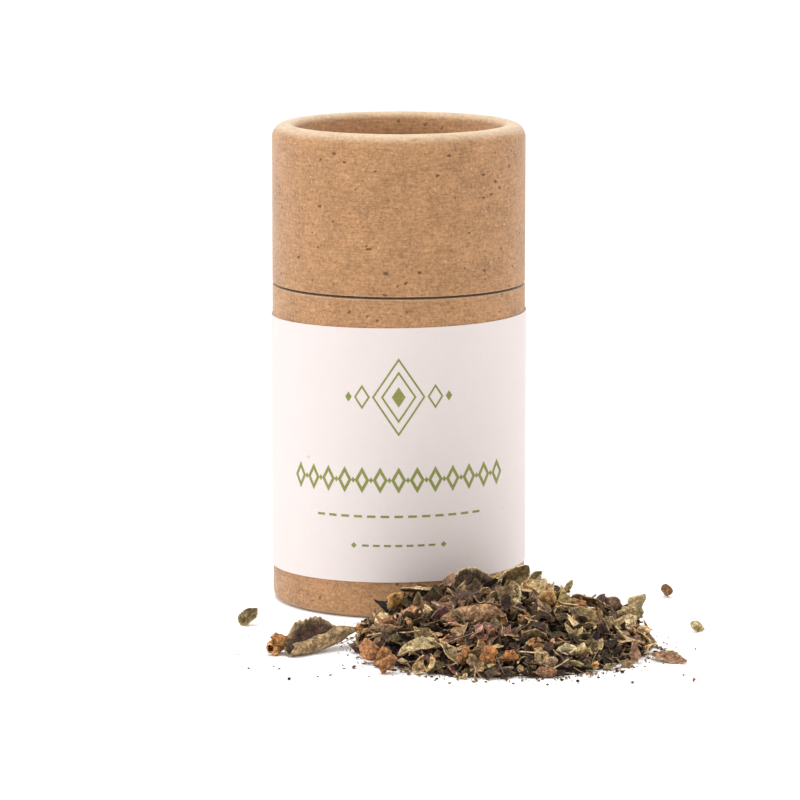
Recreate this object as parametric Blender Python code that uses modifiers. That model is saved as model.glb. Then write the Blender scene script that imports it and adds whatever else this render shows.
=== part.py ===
"""A lidded kraft-paper tube of dried holy basil, with a heap of the crumbled herb at its foot.

Run with blender --background --python part.py, or from Blender's text editor. Metres, +Z up, the
table is z = 0 and the label faces -Y. Everything is laid out round the tube's own axis, and at the
end it is shifted together, so that the origin is the middle of the whole footprint on the table.
"""

import math
import random

import bmesh
import bpy
from mathutils import Matrix, Vector

MM = 0.001
COLLECTION = "holy_basil_tube"

# Driving sizes of the tube
TUBE_RADIUS = 30.0 * MM
TUBE_HEIGHT = 113.7 * MM
BODY_HEIGHT = 75.5 * MM
SEAM_GAP = 0.6 * MM
BOARD = 1.6 * MM
NECK_BOARD = 1.2 * MM
DISC_BOARD = 1.5 * MM
GLUE_GAP = 0.3 * MM
TURN_STEPS = 56

# The two rolled ends: how wide the roll is, how round it is outside and inside, and where it stops
CROWN_WIDTH = 5.3 * MM
CROWN_OUTER_ROUND = 3.3 * MM
CROWN_INNER_ROUND = 1.4 * MM
CROWN_DEPTH = 5.5 * MM
FOOT_WIDTH = 5.1 * MM
FOOT_OUTER_ROUND = 2.2 * MM
FOOT_INNER_ROUND = 1.4 * MM
FOOT_DEPTH = 4.4 * MM
CUT_EDGE = 0.25 * MM

# The label, one strip wound round the body a little askew, with a lap at the back
LABEL_BOTTOM = 8.9 * MM
LABEL_HEIGHT = 60.0 * MM
LABEL_SHEET = 0.2 * MM
LABEL_GLUE = 0.1 * MM
LABEL_SKEW = math.radians(0.7)
LABEL_LAP = math.radians(8.0)
LABEL_LAP_RISE = math.radians(5.0)
LABEL_STEPS = 58

# The heap: its middle, half widths and height, measured from the tube's axis
HEAP_X = 24.0 * MM
HEAP_Y = -60.0 * MM
HEAP_HALF_X = 35.0 * MM
HEAP_HALF_Y = 39.0 * MM
HEAP_PEAK = 9.8 * MM
HEAP_STEEPNESS = 2.2
HEAP_RIM = 0.5 * MM
HEAP_RINGS = 6
HEAP_SECTORS = 26
# Each swelling of the mound: x, y, radius and extra height
HEAP_SWELLINGS = (
    (24.0 * MM, -47.0 * MM, 13.0 * MM, 2.2 * MM),
    (1.0 * MM, -72.0 * MM, 10.0 * MM, 1.8 * MM),
    (47.0 * MM, -54.0 * MM, 11.0 * MM, 2.0 * MM),
)
TUBE_CLEARANCE = 0.6 * MM
TABLE_CLEARANCE = 0.05 * MM

# Dried herb: sheet thickness in the solids, and how many bits of each kind the heap shows
BLADE = 0.62 * MM
ROOT_DEPTH = 0.7 * MM
HEAP_SEED = 29
LEAF_BITS = 100
CALYCES = 11
STALKS = 11
LEAF_CORNERS = 6
SHOWN_CORNERS = 8
SPREAD = 1.03
STAND_OUT = 0.9 * MM
STEEPEST_LEAF = 42
STEEPEST_STALK = 20
GOLDEN_ANGLE = math.radians(137.508)


def clear_scene():
    for obj in list(bpy.data.objects):
        bpy.data.objects.remove(obj)


def new_collection(name, hidden=False):
    collection = bpy.data.collections.new(name)
    bpy.context.scene.collection.children.link(collection)
    collection.hide_render = hidden
    return collection


def new_material(name, colour, roughness):
    material = bpy.data.materials.new(name)
    material.use_nodes = True
    shader = material.node_tree.nodes["Principled BSDF"]
    shader.inputs["Base Color"].default_value = (*colour, 1.0)
    shader.inputs["Roughness"].default_value = roughness
    shader.inputs["Metallic"].default_value = 0.0
    material.diffuse_color = (*colour, 1.0)
    return material


def new_object(name, mesh, collection, material):
    obj = bpy.data.objects.new(name, mesh)
    collection.objects.link(obj)
    mesh.materials.append(material)
    return obj


def mesh_from(name, points, faces, smooth_angle=None):
    mesh = bpy.data.meshes.new(name)
    mesh.from_pydata(points, [], faces)
    mesh.update()
    if smooth_angle is not None:
        mesh.shade_smooth()
        mesh.set_sharp_from_angle(angle=smooth_angle)
    return mesh


def settled_mesh(obj):
    """The object's mesh with its modifiers in it."""
    graph = bpy.context.evaluated_depsgraph_get()
    return bpy.data.meshes.new_from_object(obj.evaluated_get(graph))


# Turned paper parts


def arc(centre_r, centre_z, radius, start, end, steps):
    """Points (r, z) on an arc, angles in degrees from +r towards +z."""
    angles = [math.radians(start + (end - start) * i / steps) for i in range(steps + 1)]
    return [(centre_r + radius * math.cos(a), centre_z + radius * math.sin(a)) for a in angles]


def turned(name, profile, closed, collection, material):
    """A profile of (r, z) points, running down its outer side, turned about the tube's axis."""
    points = [(r, 0.0, z) for r, z in profile]
    edges = [(i, i + 1) for i in range(len(points) - 1)]
    if closed:
        edges.append((len(points) - 1, 0))
    mesh = bpy.data.meshes.new(name)
    mesh.from_pydata(points, edges, [])
    obj = new_object(name, mesh, collection, material)
    screw = obj.modifiers.new("turn", "SCREW")
    screw.axis = "Z"
    screw.steps = TURN_STEPS
    screw.render_steps = TURN_STEPS
    screw.use_merge_vertices = True
    screw.merge_threshold = 0.00001
    screw.use_smooth_shade = True
    return obj


def make_body(collection, material):
    """The lower wall, wound from kraft board, with its foot rolled inwards to carry the base."""
    inner = TUBE_RADIUS - BOARD
    throat = TUBE_RADIUS - FOOT_WIDTH
    profile = [(TUBE_RADIUS - CUT_EDGE, BODY_HEIGHT), (TUBE_RADIUS, BODY_HEIGHT - CUT_EDGE)]
    profile += arc(TUBE_RADIUS - FOOT_OUTER_ROUND, FOOT_OUTER_ROUND, FOOT_OUTER_ROUND, 0, -90, 4)
    profile += arc(throat + FOOT_INNER_ROUND, FOOT_INNER_ROUND, FOOT_INNER_ROUND, -90, -180, 3)
    profile += [(throat, FOOT_DEPTH), (inner, FOOT_DEPTH)]
    profile += [(inner, BODY_HEIGHT - CUT_EDGE), (inner + CUT_EDGE, BODY_HEIGHT)]
    return turned("tube_body", profile, True, collection, material)


def make_cap(collection, material):
    """The lift-off cap, wound to the body's diameter, with its crown rolled inwards."""
    inner = TUBE_RADIUS - BOARD
    throat = TUBE_RADIUS - CROWN_WIDTH
    bottom = BODY_HEIGHT + SEAM_GAP
    outer_centre = (TUBE_RADIUS - CROWN_OUTER_ROUND, TUBE_HEIGHT - CROWN_OUTER_ROUND)
    inner_centre = (throat + CROWN_INNER_ROUND, TUBE_HEIGHT - CROWN_INNER_ROUND)
    profile = arc(*outer_centre, CROWN_OUTER_ROUND, 90, 0, 5)
    profile += [(TUBE_RADIUS, bottom + CUT_EDGE), (TUBE_RADIUS - CUT_EDGE, bottom)]
    profile += [(inner + CUT_EDGE, bottom), (inner, bottom + CUT_EDGE)]
    profile += [(inner, TUBE_HEIGHT - CROWN_DEPTH + GLUE_GAP)]
    profile += [(throat, TUBE_HEIGHT - CROWN_DEPTH + GLUE_GAP)]
    profile += arc(*inner_centre, CROWN_INNER_ROUND, 180, 90, 3)
    return turned("cap_shell", profile, True, collection, material)


def make_disc(name, top, collection, material):
    """A pressed board disc that closes one end, glued inside the wall against the rolled edge."""
    radius = TUBE_RADIUS - BOARD - GLUE_GAP
    profile = [(0.0, top), (radius - CUT_EDGE, top), (radius, top - CUT_EDGE)]
    profile += [(radius, top - DISC_BOARD), (0.0, top - DISC_BOARD)]
    return turned(name, profile, False, collection, material)


def make_neck(collection, material):
    """The inner sleeve: glued into the body from the base up, and the cap slides over its top."""
    outer = TUBE_RADIUS - BOARD - GLUE_GAP
    inner = outer - NECK_BOARD
    bottom = FOOT_DEPTH + DISC_BOARD + 2 * GLUE_GAP
    top = TUBE_HEIGHT - CROWN_DEPTH - DISC_BOARD - GLUE_GAP
    profile = [(outer, top), (outer, bottom), (inner, bottom), (inner, top)]
    return turned("neck_sleeve", profile, True, collection, material)


def make_label(collection, material):
    """A paper strip round the body. Its end laps over its start at the back."""
    start = -math.pi
    span = 2 * math.pi + LABEL_LAP
    points = []
    for i in range(LABEL_STEPS + 1):
        angle = start + span * i / LABEL_STEPS
        climb = (angle - math.pi + LABEL_LAP_RISE) / LABEL_LAP_RISE
        lift = (LABEL_SHEET + LABEL_GLUE) * min(1.0, max(0.0, climb))
        radius = TUBE_RADIUS + LABEL_GLUE + lift
        shift = TUBE_RADIUS * angle * math.tan(LABEL_SKEW)
        for z in (LABEL_BOTTOM + shift, LABEL_BOTTOM + LABEL_HEIGHT + shift):
            points.append((radius * math.sin(angle), -radius * math.cos(angle), z))
    faces = [(2 * i, 2 * i + 2, 2 * i + 3, 2 * i + 1) for i in range(LABEL_STEPS)]
    label = new_object("label", mesh_from("label", points, faces, math.radians(30)), collection, material)
    sheet = label.modifiers.new("sheet", "SOLIDIFY")
    sheet.thickness = LABEL_SHEET
    sheet.offset = 1.0
    return label


# Bits of dried herb. Each is (points, faces) round its own origin, lying flat in XY.


def bent(u, v, lift, curl):
    """A point of a flat sheet rolled up round its long axis, u. curl is in radians a metre."""
    if abs(curl) < 1e-6:
        return Vector((u, v, lift))
    radius = 1.0 / curl
    return Vector((u, (radius - lift) * math.sin(v * curl), radius - (radius - lift) * math.cos(v * curl)))


def blade(outline, curl, middle_ring):
    """A thin closed blade from an outline of (u, v) corners, rolled up by curl.

    Both faces are split into the same triangles: a fan round the middle, with a ring of points
    half way out where middle_ring is true.
    """
    count = len(outline)
    half = BLADE / 2
    sheet = [(0.0, 0.0)]
    if middle_ring:
        sheet += [(0.55 * u, 0.55 * v) for u, v in outline]
    sheet += list(outline)
    points = [bent(u, v, side, curl) for side in (half, -half) for u, v in sheet]
    faces = []
    other = len(sheet)
    rim = other - count
    for i in range(count):
        j = (i + 1) % count
        top = [(0, 1 + i, 1 + j)]
        if middle_ring:
            top += [(1 + i, rim + i, rim + j), (1 + i, rim + j, 1 + j)]
        faces += top
        faces += [tuple(other + k for k in reversed(face)) for face in top]
        a, b = rim + i, rim + j
        faces += [(a, other + a, other + b), (a, other + b, b)]
    return points, faces


def torn_outline(length, width, draw, corners=LEAF_CORNERS):
    """Corners of a torn bit of leaf: an oval with some corners broken back."""
    outline = []
    for i in range(corners):
        angle = 2 * math.pi * (i + draw.uniform(-0.25, 0.25)) / corners
        reach = draw.uniform(0.68, 1.08)
        outline.append((0.5 * length * reach * math.cos(angle), 0.5 * width * reach * math.sin(angle)))
    return outline


def leaf_outline(length, width, pairs=4):
    """A whole pointed leaf, with one shallow tooth for each pair of points along its sides."""
    upper = []
    for i in range(1, 2 * pairs):
        share = i / (2 * pairs)
        tooth = 1.0 + (0.07 if i % 2 else -0.07)
        reach = 0.5 * width * tooth * math.sin(math.pi * share) ** 0.75
        upper.append((length * (share - 0.5), reach))
    lower = [(u, -v) for u, v in reversed(upper)]
    return [(-0.5 * length, 0.0)] + lower[::-1] + [(0.5 * length, 0.0)] + upper[::-1]


def calyx(radius, draw, sectors=6):
    """A seed cup: a bulb with a ragged lip round a hollow mouth that faces +Z."""
    rings = ((0.62, -0.72, 0.05), (1.0, -0.05, 0.06), (0.86, 0.66, 0.2), (0.5, 0.3, 0.05))
    points = [Vector((0.0, 0.0, -radius))]
    for reach, height, rough in rings:
        for i in range(sectors):
            angle = 2 * math.pi * i / sectors
            r = radius * reach * (1 + draw.uniform(-rough, rough))
            z = radius * (height + draw.uniform(-rough, rough))
            points.append(Vector((r * math.cos(angle), r * math.sin(angle), z)))
    points.append(Vector((0.0, 0.0, -0.25 * radius)))
    faces = []
    last = len(points) - 1
    top_ring = 1 + (len(rings) - 1) * sectors
    for i in range(sectors):
        j = (i + 1) % sectors
        faces.append((0, 1 + j, 1 + i))
        for ring in range(len(rings) - 1):
            a, b = 1 + ring * sectors + i, 1 + ring * sectors + j
            c, d = a + sectors, b + sectors
            faces += [(a, b, d), (a, d, c)]
        faces.append((top_ring + i, top_ring + j, last))
    return points, faces


def stalk(length, radius, bow, sides=4, joints=2):
    """A bit of dry stem along X, bowed upwards in the middle."""
    points = []
    for k in range(joints + 1):
        share = k / joints
        lift = bow * 4 * share * (1 - share)
        for i in range(sides):
            angle = 2 * math.pi * i / sides
            y, z = radius * math.cos(angle), radius * math.sin(angle)
            points.append(Vector((length * (share - 0.5), y, z + lift)))
    faces = []
    for k in range(joints):
        for i in range(sides):
            j = (i + 1) % sides
            a, b = k * sides + i, k * sides + j
            faces += [(a, b, b + sides), (a, b + sides, a + sides)]
    for i in range(1, sides - 1):
        faces.append((0, i + 1, i))
        end = joints * sides
        faces.append((end, end + i, end + i + 1))
    return points, faces


# Where the bits lie


def mound_height(x, y):
    """Height of the packed crumb under the bits at a point of the table, 0 or less outside it."""
    reach = math.hypot((x - HEAP_X) / HEAP_HALF_X, (y - HEAP_Y) / HEAP_HALF_Y)
    height = HEAP_RIM + (HEAP_PEAK - HEAP_RIM) * (1 - reach**HEAP_STEEPNESS)
    for sx, sy, radius, extra in HEAP_SWELLINGS:
        away = math.hypot(x - sx, y - sy) / radius
        height += extra * math.exp(-away * away)
    return height


def mound_normal(x, y):
    step = 0.5 * MM
    slope_x = (mound_height(x + step, y) - mound_height(x - step, y)) / (2 * step)
    slope_y = (mound_height(x, y + step) - mound_height(x, y - step)) / (2 * step)
    return Vector((-slope_x, -slope_y, 1.0)).normalized()


def pose(heading, tilt, roll):
    """Rotation in degrees: roll about the bit's own X, tilt about its Y, then heading about Z."""
    turn = Matrix.Rotation(math.radians(heading), 3, "Z")
    turn = turn @ Matrix.Rotation(math.radians(tilt), 3, "Y")
    return turn @ Matrix.Rotation(math.radians(roll), 3, "X")


def placed(shape, turn, at):
    points, faces = shape
    return [turn @ p + at for p in points], faces


def clear_of_tube(points):
    """The same points, pushed away from the tube's axis as one piece until none is in the tube."""
    limit = TUBE_RADIUS + TUBE_CLEARANCE
    near = min(points, key=lambda p: math.hypot(p.x, p.y))
    gap = math.hypot(near.x, near.y)
    if gap >= limit:
        return points
    push = Vector((near.x, near.y, 0.0)).normalized() * (limit - gap)
    return [p + push for p in points]


def on_table(points):
    """The same points, raised as one piece until none is under the table."""
    lift = TABLE_CLEARANCE - min(p.z for p in points)
    return [p + Vector((0.0, 0.0, lift)) for p in points] if lift > 0 else points


def rooted(points):
    """The same points, lowered as one piece until one is sunk well into the mound."""
    depth = max(mound_height(p.x, p.y) - p.z for p in points)
    return [p - Vector((0.0, 0.0, ROOT_DEPTH - depth)) for p in points] if depth < ROOT_DEPTH else points


def keeps_clear(points, spaces):
    return all(math.hypot(p.x - x, p.y - y) > radius for p in points for x, y, radius in spaces)


# The bits that the photograph shows one by one on the heap. Each is its kind, its middle (x, y, z),
# its heading, tilt and roll in degrees, its length and width, and its curl in radians a millimetre.
SHOWN_ON_HEAP = (
    ("leaf", (17.3, -47.5, 12.6), (4, -8, 62), 9.5, 8.5, 0.2),
    ("leaf", (25.6, -46.5, 12.8), (8, -42, 64), 11.5, 7.0, 0.24),
    ("torn", (30.5, -46.5, 12.0), (-20, -50, 40), 7.0, 4.0, 0.2),
    ("leaf", (6.0, -51.0, 11.8), (12, 4, -16), 10.5, 6.5, -0.26),
    ("calyx", (-1.0, -51.0, 9.4), (30, 40, 0), 5.4, 5.4, 0.0),
    ("leaf", (17.0, -66.0, 10.2), (176, 4, 70), 15.5, 9.0, 0.44),
    ("stalk", (7.5, -57.0, 11.4), (4, 2, 0), 9.5, 1.0, 0.0),
    ("leaf", (5.5, -84.0, 4.8), (12, -12, 20), 12.0, 5.0, 0.28),
    ("leaf", (11.0, -88.0, 4.0), (-62, 18, -14), 11.0, 4.2, 0.3),
    ("leaf", (31.5, -52.0, 11.4), (-75, 18, 20), 10.0, 6.5, 0.16),
    ("leaf", (35.5, -47.0, 12.4), (150, 10, 24), 9.0, 3.8, -0.3),
    ("torn", (44.0, -52.0, 9.0), (20, 22, -18), 9.5, 6.5, 0.08),
    ("calyx", (49.0, -49.5, 7.6), (60, 62, 0), 5.0, 5.0, 0.0),
    ("calyx", (34.5, -59.0, 9.2), (120, 50, 0), 4.8, 4.8, 0.0),
    ("calyx", (26.0, -62.0, 10.6), (0, 12, 0), 3.4, 3.4, 0.0),
    ("calyx", (54.0, -52.0, 4.8), (140, 34, 0), 6.2, 6.2, 0.0),
    ("torn", (56.4, -61.0, 2.8), (30, 34, 20), 6.5, 5.0, 0.24),
    ("leaf", (52.5, -71.0, 3.0), (65, 10, 8), 11.0, 6.5, 0.12),
    ("torn", (42.0, -66.0, 7.4), (-30, 20, 16), 8.0, 6.0, 0.22),
    ("torn", (31.0, -82.0, 5.8), (40, 24, -20), 8.0, 6.0, 0.24),
    ("calyx", (-5.6, -81.0, 3.2), (200, 46, 0), 5.2, 5.2, 0.0),
    ("calyx", (-1.0, -86.5, 2.4), (250, 34, 0), 5.0, 5.0, 0.0),
    ("calyx", (15.5, -91.0, 3.2), (300, 60, 0), 4.6, 4.6, 0.0),
    ("stalk", (25.0, -90.0, 4.2), (-28, -6, 0), 10.0, 0.9, 0.0),
    ("stalk", (41.0, -60.0, 8.2), (-38, 8, 0), 9.0, 0.9, 0.0),
)

# The bits that lie by themselves on the table beside the heap, each a node of its own: name, kind,
# middle (x, y), heading, tilt and roll, length and width, curl, and the round space kept free for it.
LYING_BESIDE = (
    ("leaf_curled_left", "leaf", (-16.9, -66.6), (43, -9, -34), 20.5, 16.5, 0.235, 8.8),
    ("calyx_left", "calyx", (-27.0, -69.6), (160, 70, 0), 4.8, 4.8, 0.0, 3.0),
    ("leaf_bit_left", "torn", (-34.9, -36.5), (52, 36, 14), 6.0, 4.4, 0.2, 3.6),
    ("leaf_flake_right", "leaf", (60.8, -77.4), (-40, 3, 12), 10.5, 5.0, 0.14, 4.8),
    ("leaf_bit_right", "torn", (69.0, -44.0), (20, 26, 10), 3.6, 3.0, 0.3, 3.0),
    ("calyx_bit_behind", "calyx", (64.0, -3.0), (20, 30, 0), 3.0, 3.0, 0.0, 3.0),
)


def bit_shape(kind, length, width, curl, draw):
    if kind == "leaf":
        return blade(leaf_outline(length, width), curl, True)
    if kind == "torn":
        return blade(torn_outline(length, width, draw, SHOWN_CORNERS), curl, True)
    if kind == "calyx":
        return calyx(0.5 * length, draw)
    return stalk(length, 0.5 * width, 0.06 * length)


def make_core(collection, material):
    """The packed crumb that the bits stand out of: a low mound with a flat underside."""
    points = [(HEAP_X, HEAP_Y, mound_height(HEAP_X, HEAP_Y))]
    for ring in range(1, HEAP_RINGS + 1):
        reach = (ring / HEAP_RINGS) ** 0.8
        for i in range(HEAP_SECTORS):
            angle = 2 * math.pi * i / HEAP_SECTORS
            x = HEAP_X + HEAP_HALF_X * reach * math.cos(angle)
            y = HEAP_Y + HEAP_HALF_Y * reach * math.sin(angle)
            points.append((x, y, max(HEAP_RIM, mound_height(x, y))))
    rim = len(points) - HEAP_SECTORS
    foot = len(points)
    points += [(x, y, 0.0) for x, y, _ in points[rim:]]
    under = len(points)
    points.append((HEAP_X, HEAP_Y, 0.0))
    faces = []
    for i in range(HEAP_SECTORS):
        j = (i + 1) % HEAP_SECTORS
        faces.append((0, 1 + i, 1 + j))
        for ring in range(HEAP_RINGS - 1):
            a, b = 1 + ring * HEAP_SECTORS + i, 1 + ring * HEAP_SECTORS + j
            c, d = a + HEAP_SECTORS, b + HEAP_SECTORS
            faces += [(a, c, d), (a, d, b)]
        faces += [(rim + i, foot + i, foot + j), (rim + i, foot + j, rim + j)]
        faces.append((under, foot + j, foot + i))
    return new_object("herb_heap", mesh_from("herb_heap", points, faces), collection, material)


def scattered_bits(draw, spaces):
    """The seeded rule: a spiral that covers the mound evenly, with one bit at each of its points."""
    kinds = ["calyx"] * CALYCES + ["stalk"] * STALKS + ["torn"] * LEAF_BITS
    draw.shuffle(kinds)
    for i, kind in enumerate(kinds):
        reach = math.sqrt((i + 0.5) / len(kinds)) * SPREAD
        angle = i * GOLDEN_ANGLE
        x = HEAP_X + HEAP_HALF_X * reach * math.cos(angle)
        y = HEAP_Y + HEAP_HALF_Y * reach * math.sin(angle)
        if kind == "torn":
            length = draw.uniform(6.0, 11.0) * MM
            shape = blade(
                torn_outline(length, length * draw.uniform(0.45, 0.85), draw),
                draw.choice((-1, 1)) * draw.uniform(0.08, 0.3) / MM,
                False,
            )
        elif kind == "calyx":
            shape = calyx(draw.uniform(1.7, 2.6) * MM, draw)
        else:
            shape = stalk(draw.uniform(7.0, 13.0) * MM, draw.uniform(0.4, 0.6) * MM, 0.5 * MM)
        lean = mound_normal(x, y).to_track_quat("Z", "Y").to_matrix()
        steep = STEEPEST_STALK if kind == "stalk" else STEEPEST_LEAF
        turn = lean @ pose(draw.uniform(0, 360), draw.uniform(-steep, steep), draw.uniform(-25, 25))
        height = max(0.0, mound_height(x, y)) + STAND_OUT
        points, faces = placed(shape, turn, Vector((x, y, height)))
        points = clear_of_tube(on_table(rooted(points)))
        inside = max(mound_height(p.x, p.y) - p.z for p in points) > 0.5 * ROOT_DEPTH
        if inside and keeps_clear(points, spaces):
            yield points, faces


def shown_bits(draw):
    for kind, at, angles, length, width, curl in SHOWN_ON_HEAP:
        shape = bit_shape(kind, length * MM, width * MM, curl / MM, draw)
        points, faces = placed(shape, pose(*angles), Vector(at) * MM)
        yield clear_of_tube(on_table(rooted(points))), faces


def outer_shell_only(mesh):
    """Drops every loose scrap and fills every hollow that the union sealed."""
    shape = bmesh.new()
    shape.from_mesh(mesh)
    left = set(shape.faces)
    shells = []
    while left:
        shell = {left.pop()}
        front = list(shell)
        while front:
            face = front.pop()
            near = {f for edge in face.edges for f in edge.link_faces} & left
            left -= near
            shell |= near
            front += near
        shells.append(shell)
    shells.sort(key=len)
    spare = [face for shell in shells[:-1] for face in shell]
    bmesh.ops.delete(shape, geom=spare, context="FACES")
    bmesh.ops.triangulate(shape, faces=shape.faces)
    shape.to_mesh(mesh)
    shape.free()


def apply_boolean(obj, operation, solver, collection=None, other=None):
    cut = obj.modifiers.new(operation.lower(), "BOOLEAN")
    cut.operation = operation
    cut.solver = solver
    if collection:
        cut.operand_type = "COLLECTION"
        cut.collection = collection
    else:
        cut.object = other
    mesh = settled_mesh(obj)
    obj.modifiers.clear()
    obj.data = mesh


def make_heap(collection, cutters, material):
    """The mound with every bit on it fused to it, cut back where the tube stands."""
    draw = random.Random(HEAP_SEED)
    heap = make_core(collection, material)
    spaces = [(row[2][0] * MM, row[2][1] * MM, row[-1] * MM) for row in LYING_BESIDE]
    bits = new_collection("bits")
    for points, faces in [*shown_bits(draw), *scattered_bits(draw, spaces)]:
        new_object("bit", mesh_from("bit", points, faces), bits, material)
    apply_boolean(heap, "UNION", "MANIFOLD", collection=bits)
    for bit in list(bits.objects):
        bpy.data.objects.remove(bit)
    bpy.data.collections.remove(bits)
    bpy.ops.mesh.primitive_cylinder_add(
        vertices=96, radius=TUBE_RADIUS + TUBE_CLEARANCE, depth=2 * TUBE_HEIGHT
    )
    cutter = bpy.context.object
    cutter.name = "tube_space"
    cutter.hide_render = True
    cutter.display_type = "WIRE"
    for owner in list(cutter.users_collection):
        owner.objects.unlink(cutter)
    cutters.objects.link(cutter)
    apply_boolean(heap, "DIFFERENCE", "MANIFOLD", other=cutter)
    outer_shell_only(heap.data)
    return heap


def make_lying_bits(collection, leaf, husk):
    draw = random.Random(HEAP_SEED + 1)
    for name, kind, (x, y), angles, length, width, curl, _ in LYING_BESIDE:
        shape = bit_shape(kind, length * MM, width * MM, curl / MM, draw)
        points, faces = placed(shape, pose(*angles), Vector((x * MM, y * MM, 0.0)))
        low = min(p.z for p in points)
        points = [p - Vector((0.0, 0.0, low)) for p in points]
        new_object(name, mesh_from(name, points, faces), collection, husk if kind == "calyx" else leaf)


def centre_on_footprint(collection):
    """Shifts every object, so that the origin is the middle of the whole footprint."""
    bpy.context.view_layer.update()
    graph = bpy.context.evaluated_depsgraph_get()
    corners = []
    for obj in collection.objects:
        settled = obj.evaluated_get(graph)
        corners += [settled.matrix_world @ Vector(corner) for corner in settled.bound_box]
    middle = Vector(
        (
            (min(c.x for c in corners) + max(c.x for c in corners)) / 2,
            (min(c.y for c in corners) + max(c.y for c in corners)) / 2,
            0.0,
        )
    )
    for obj in collection.objects:
        obj.location -= middle


def main():
    clear_scene()
    collection = new_collection(COLLECTION)
    cutters = new_collection("cutters", hidden=True)
    kraft = new_material("kraft_board", (0.44, 0.25, 0.12), 0.85)
    paper = new_material("label_paper", (0.82, 0.77, 0.74), 0.6)
    leaf = new_material("dried_leaf", (0.2, 0.16, 0.08), 0.85)
    husk = new_material("dried_calyx", (0.4, 0.17, 0.06), 0.85)
    make_body(collection, kraft)
    make_cap(collection, kraft)
    make_disc("base_disc", FOOT_DEPTH + GLUE_GAP + DISC_BOARD, collection, kraft)
    make_disc("cap_disc", TUBE_HEIGHT - CROWN_DEPTH, collection, kraft)
    make_neck(collection, kraft)
    make_label(collection, paper)
    make_heap(collection, cutters, leaf)
    make_lying_bits(collection, leaf, husk)
    centre_on_footprint(collection)


main()
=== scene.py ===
"""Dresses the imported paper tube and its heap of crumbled, dried holy basil.

Shapes are worked out in millimetres from the tube's own axis, with the table at z = 0 and the label
facing -Y, and to_frame puts them into the frame. The herb is laid bit by bit on a height map of the
heap, so every leaf bit, seed cup and stalk rests on what lies under it.
"""

import math

import bpy
import numpy as np
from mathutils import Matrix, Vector


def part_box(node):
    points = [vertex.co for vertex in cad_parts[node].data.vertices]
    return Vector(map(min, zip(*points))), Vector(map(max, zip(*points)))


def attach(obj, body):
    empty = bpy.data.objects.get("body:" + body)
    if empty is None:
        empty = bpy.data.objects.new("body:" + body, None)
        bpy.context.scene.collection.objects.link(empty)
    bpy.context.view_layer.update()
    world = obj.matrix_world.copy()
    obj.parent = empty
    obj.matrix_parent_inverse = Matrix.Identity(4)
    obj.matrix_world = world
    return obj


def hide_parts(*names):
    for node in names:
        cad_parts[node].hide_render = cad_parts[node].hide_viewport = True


MM = 0.001
HERB_SEED = 29
LYING_SEED = 36

# The tube, in millimetres. DISC_EYE is a pinhole that keeps a turned disc off the axis.
ROUND_STEPS = 240
BOARD = 1.6
NECK_BOARD = 1.2
DISC_BOARD = 1.5
GLUE_GAP = 0.3
CROWN_WIDTH = 5.3
CROWN_OUTER_ROUND = 3.3
CROWN_INNER_ROUND = 1.6
CROWN_DEPTH = 5.5
FOOT_WIDTH = 5.1
FOOT_OUTER_ROUND = 2.2
FOOT_INNER_ROUND = 1.4
FOOT_DEPTH = 4.4
CUT_EDGE = 0.22
DISC_EYE = 0.02

# The label and what is printed on it, in millimetres round (u) and up (v) the sheet
LABEL_BOTTOM = 8.9
LABEL_HEIGHT = 60.0
LABEL_SHEET = 0.2
LABEL_GLUE = 0.1
LABEL_SKEW = math.radians(0.7)
LABEL_LAP = math.radians(8.0)
LABEL_LAP_RISE = math.radians(5.0)
FIGURE_UP = 43.8
CHAIN_UP = 24.2
LONG_RULE_UP = 15.6
SHORT_RULE_UP = 8.7
CHAIN_STEP = 4.3
LONG_DASH_STEP = 3.2
SHORT_DASH_STEP = 2.6
FINE_LINE = 0.42
INK_FROM = 0.004
INK_TO = 0.03
INK_CELL = 1.0

# The heap, in millimetres. A swelling is its middle (x, y), its radius and its height. The spaces are
# how far the bed and the middles of the bits keep from the tube.
HEAP_X = 24.0
HEAP_Y = -60.0
HEAP_HALF_X = 35.0
HEAP_HALF_Y = 39.0
HEAP_PEAK = 9.8
HEAP_STEEPNESS = 2.2
HEAP_RIM = 0.5
HEAP_SWELLINGS = (
    (24.0, -47.0, 13.0, 2.2),
    (1.0, -72.0, 10.0, 1.8),
    (47.0, -54.0, 11.0, 0.8),
    (5.0, -45.0, 8.0, 2.6),
)
CRUMB_SHADE_BED = 2.2
TUBE_SPACE = 0.55
BED_SPACE = 0.7
BIT_SPACE = 1.0
CUP_SPACE = 3.0
SPILT_SPACE = 2.0
DROP_HEIGHT = 20.0
TABLE_GAP = 0.01
PLACES_TRIED = 7
MAP_LOW = (-60.0, -125.0)
MAP_SIZE = (150.0, 130.0)
MAP_CELL = 0.5

# How many bits of each kind are laid, and how much the torn leaves of each layer are darkened or lightened:
# painted shade deep in the heap, painted light on top
UNDER_SHARDS = 1300
LOWER_LEAVES, LOWER_PAINTED_SHADE = 420, (0.15, 0.6)
UPPER_LEAVES, UPPER_PAINTED_LIGHT = 330, (0.9, 2.4)
HEAP_CUPS = 26
LAYER_STALKS = 70
LOWER_GRIT, UPPER_GRIT = 1200, 900
SPILT_GRIT, FAR_DUST = 620, 60

# Where crumbs may lie on the table round the heap, and the patch of dust at its far left
TABLE_X = (-44.0, 72.0)
TABLE_FRONT = -110.0
FAR_DUST_X = (-44.0, -33.0)
FAR_DUST_Y = (-95.0, -42.0)

# The camera, worked out from the tube's rims in the photograph, in millimetres
CAMERA_BACK = 1206.1
CAMERA_HEIGHT = 237.4
CAMERA_SIDE = 0.3
CAMERA_DOWN = math.radians(8.956)
CAMERA_LENS = 230.5

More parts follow.
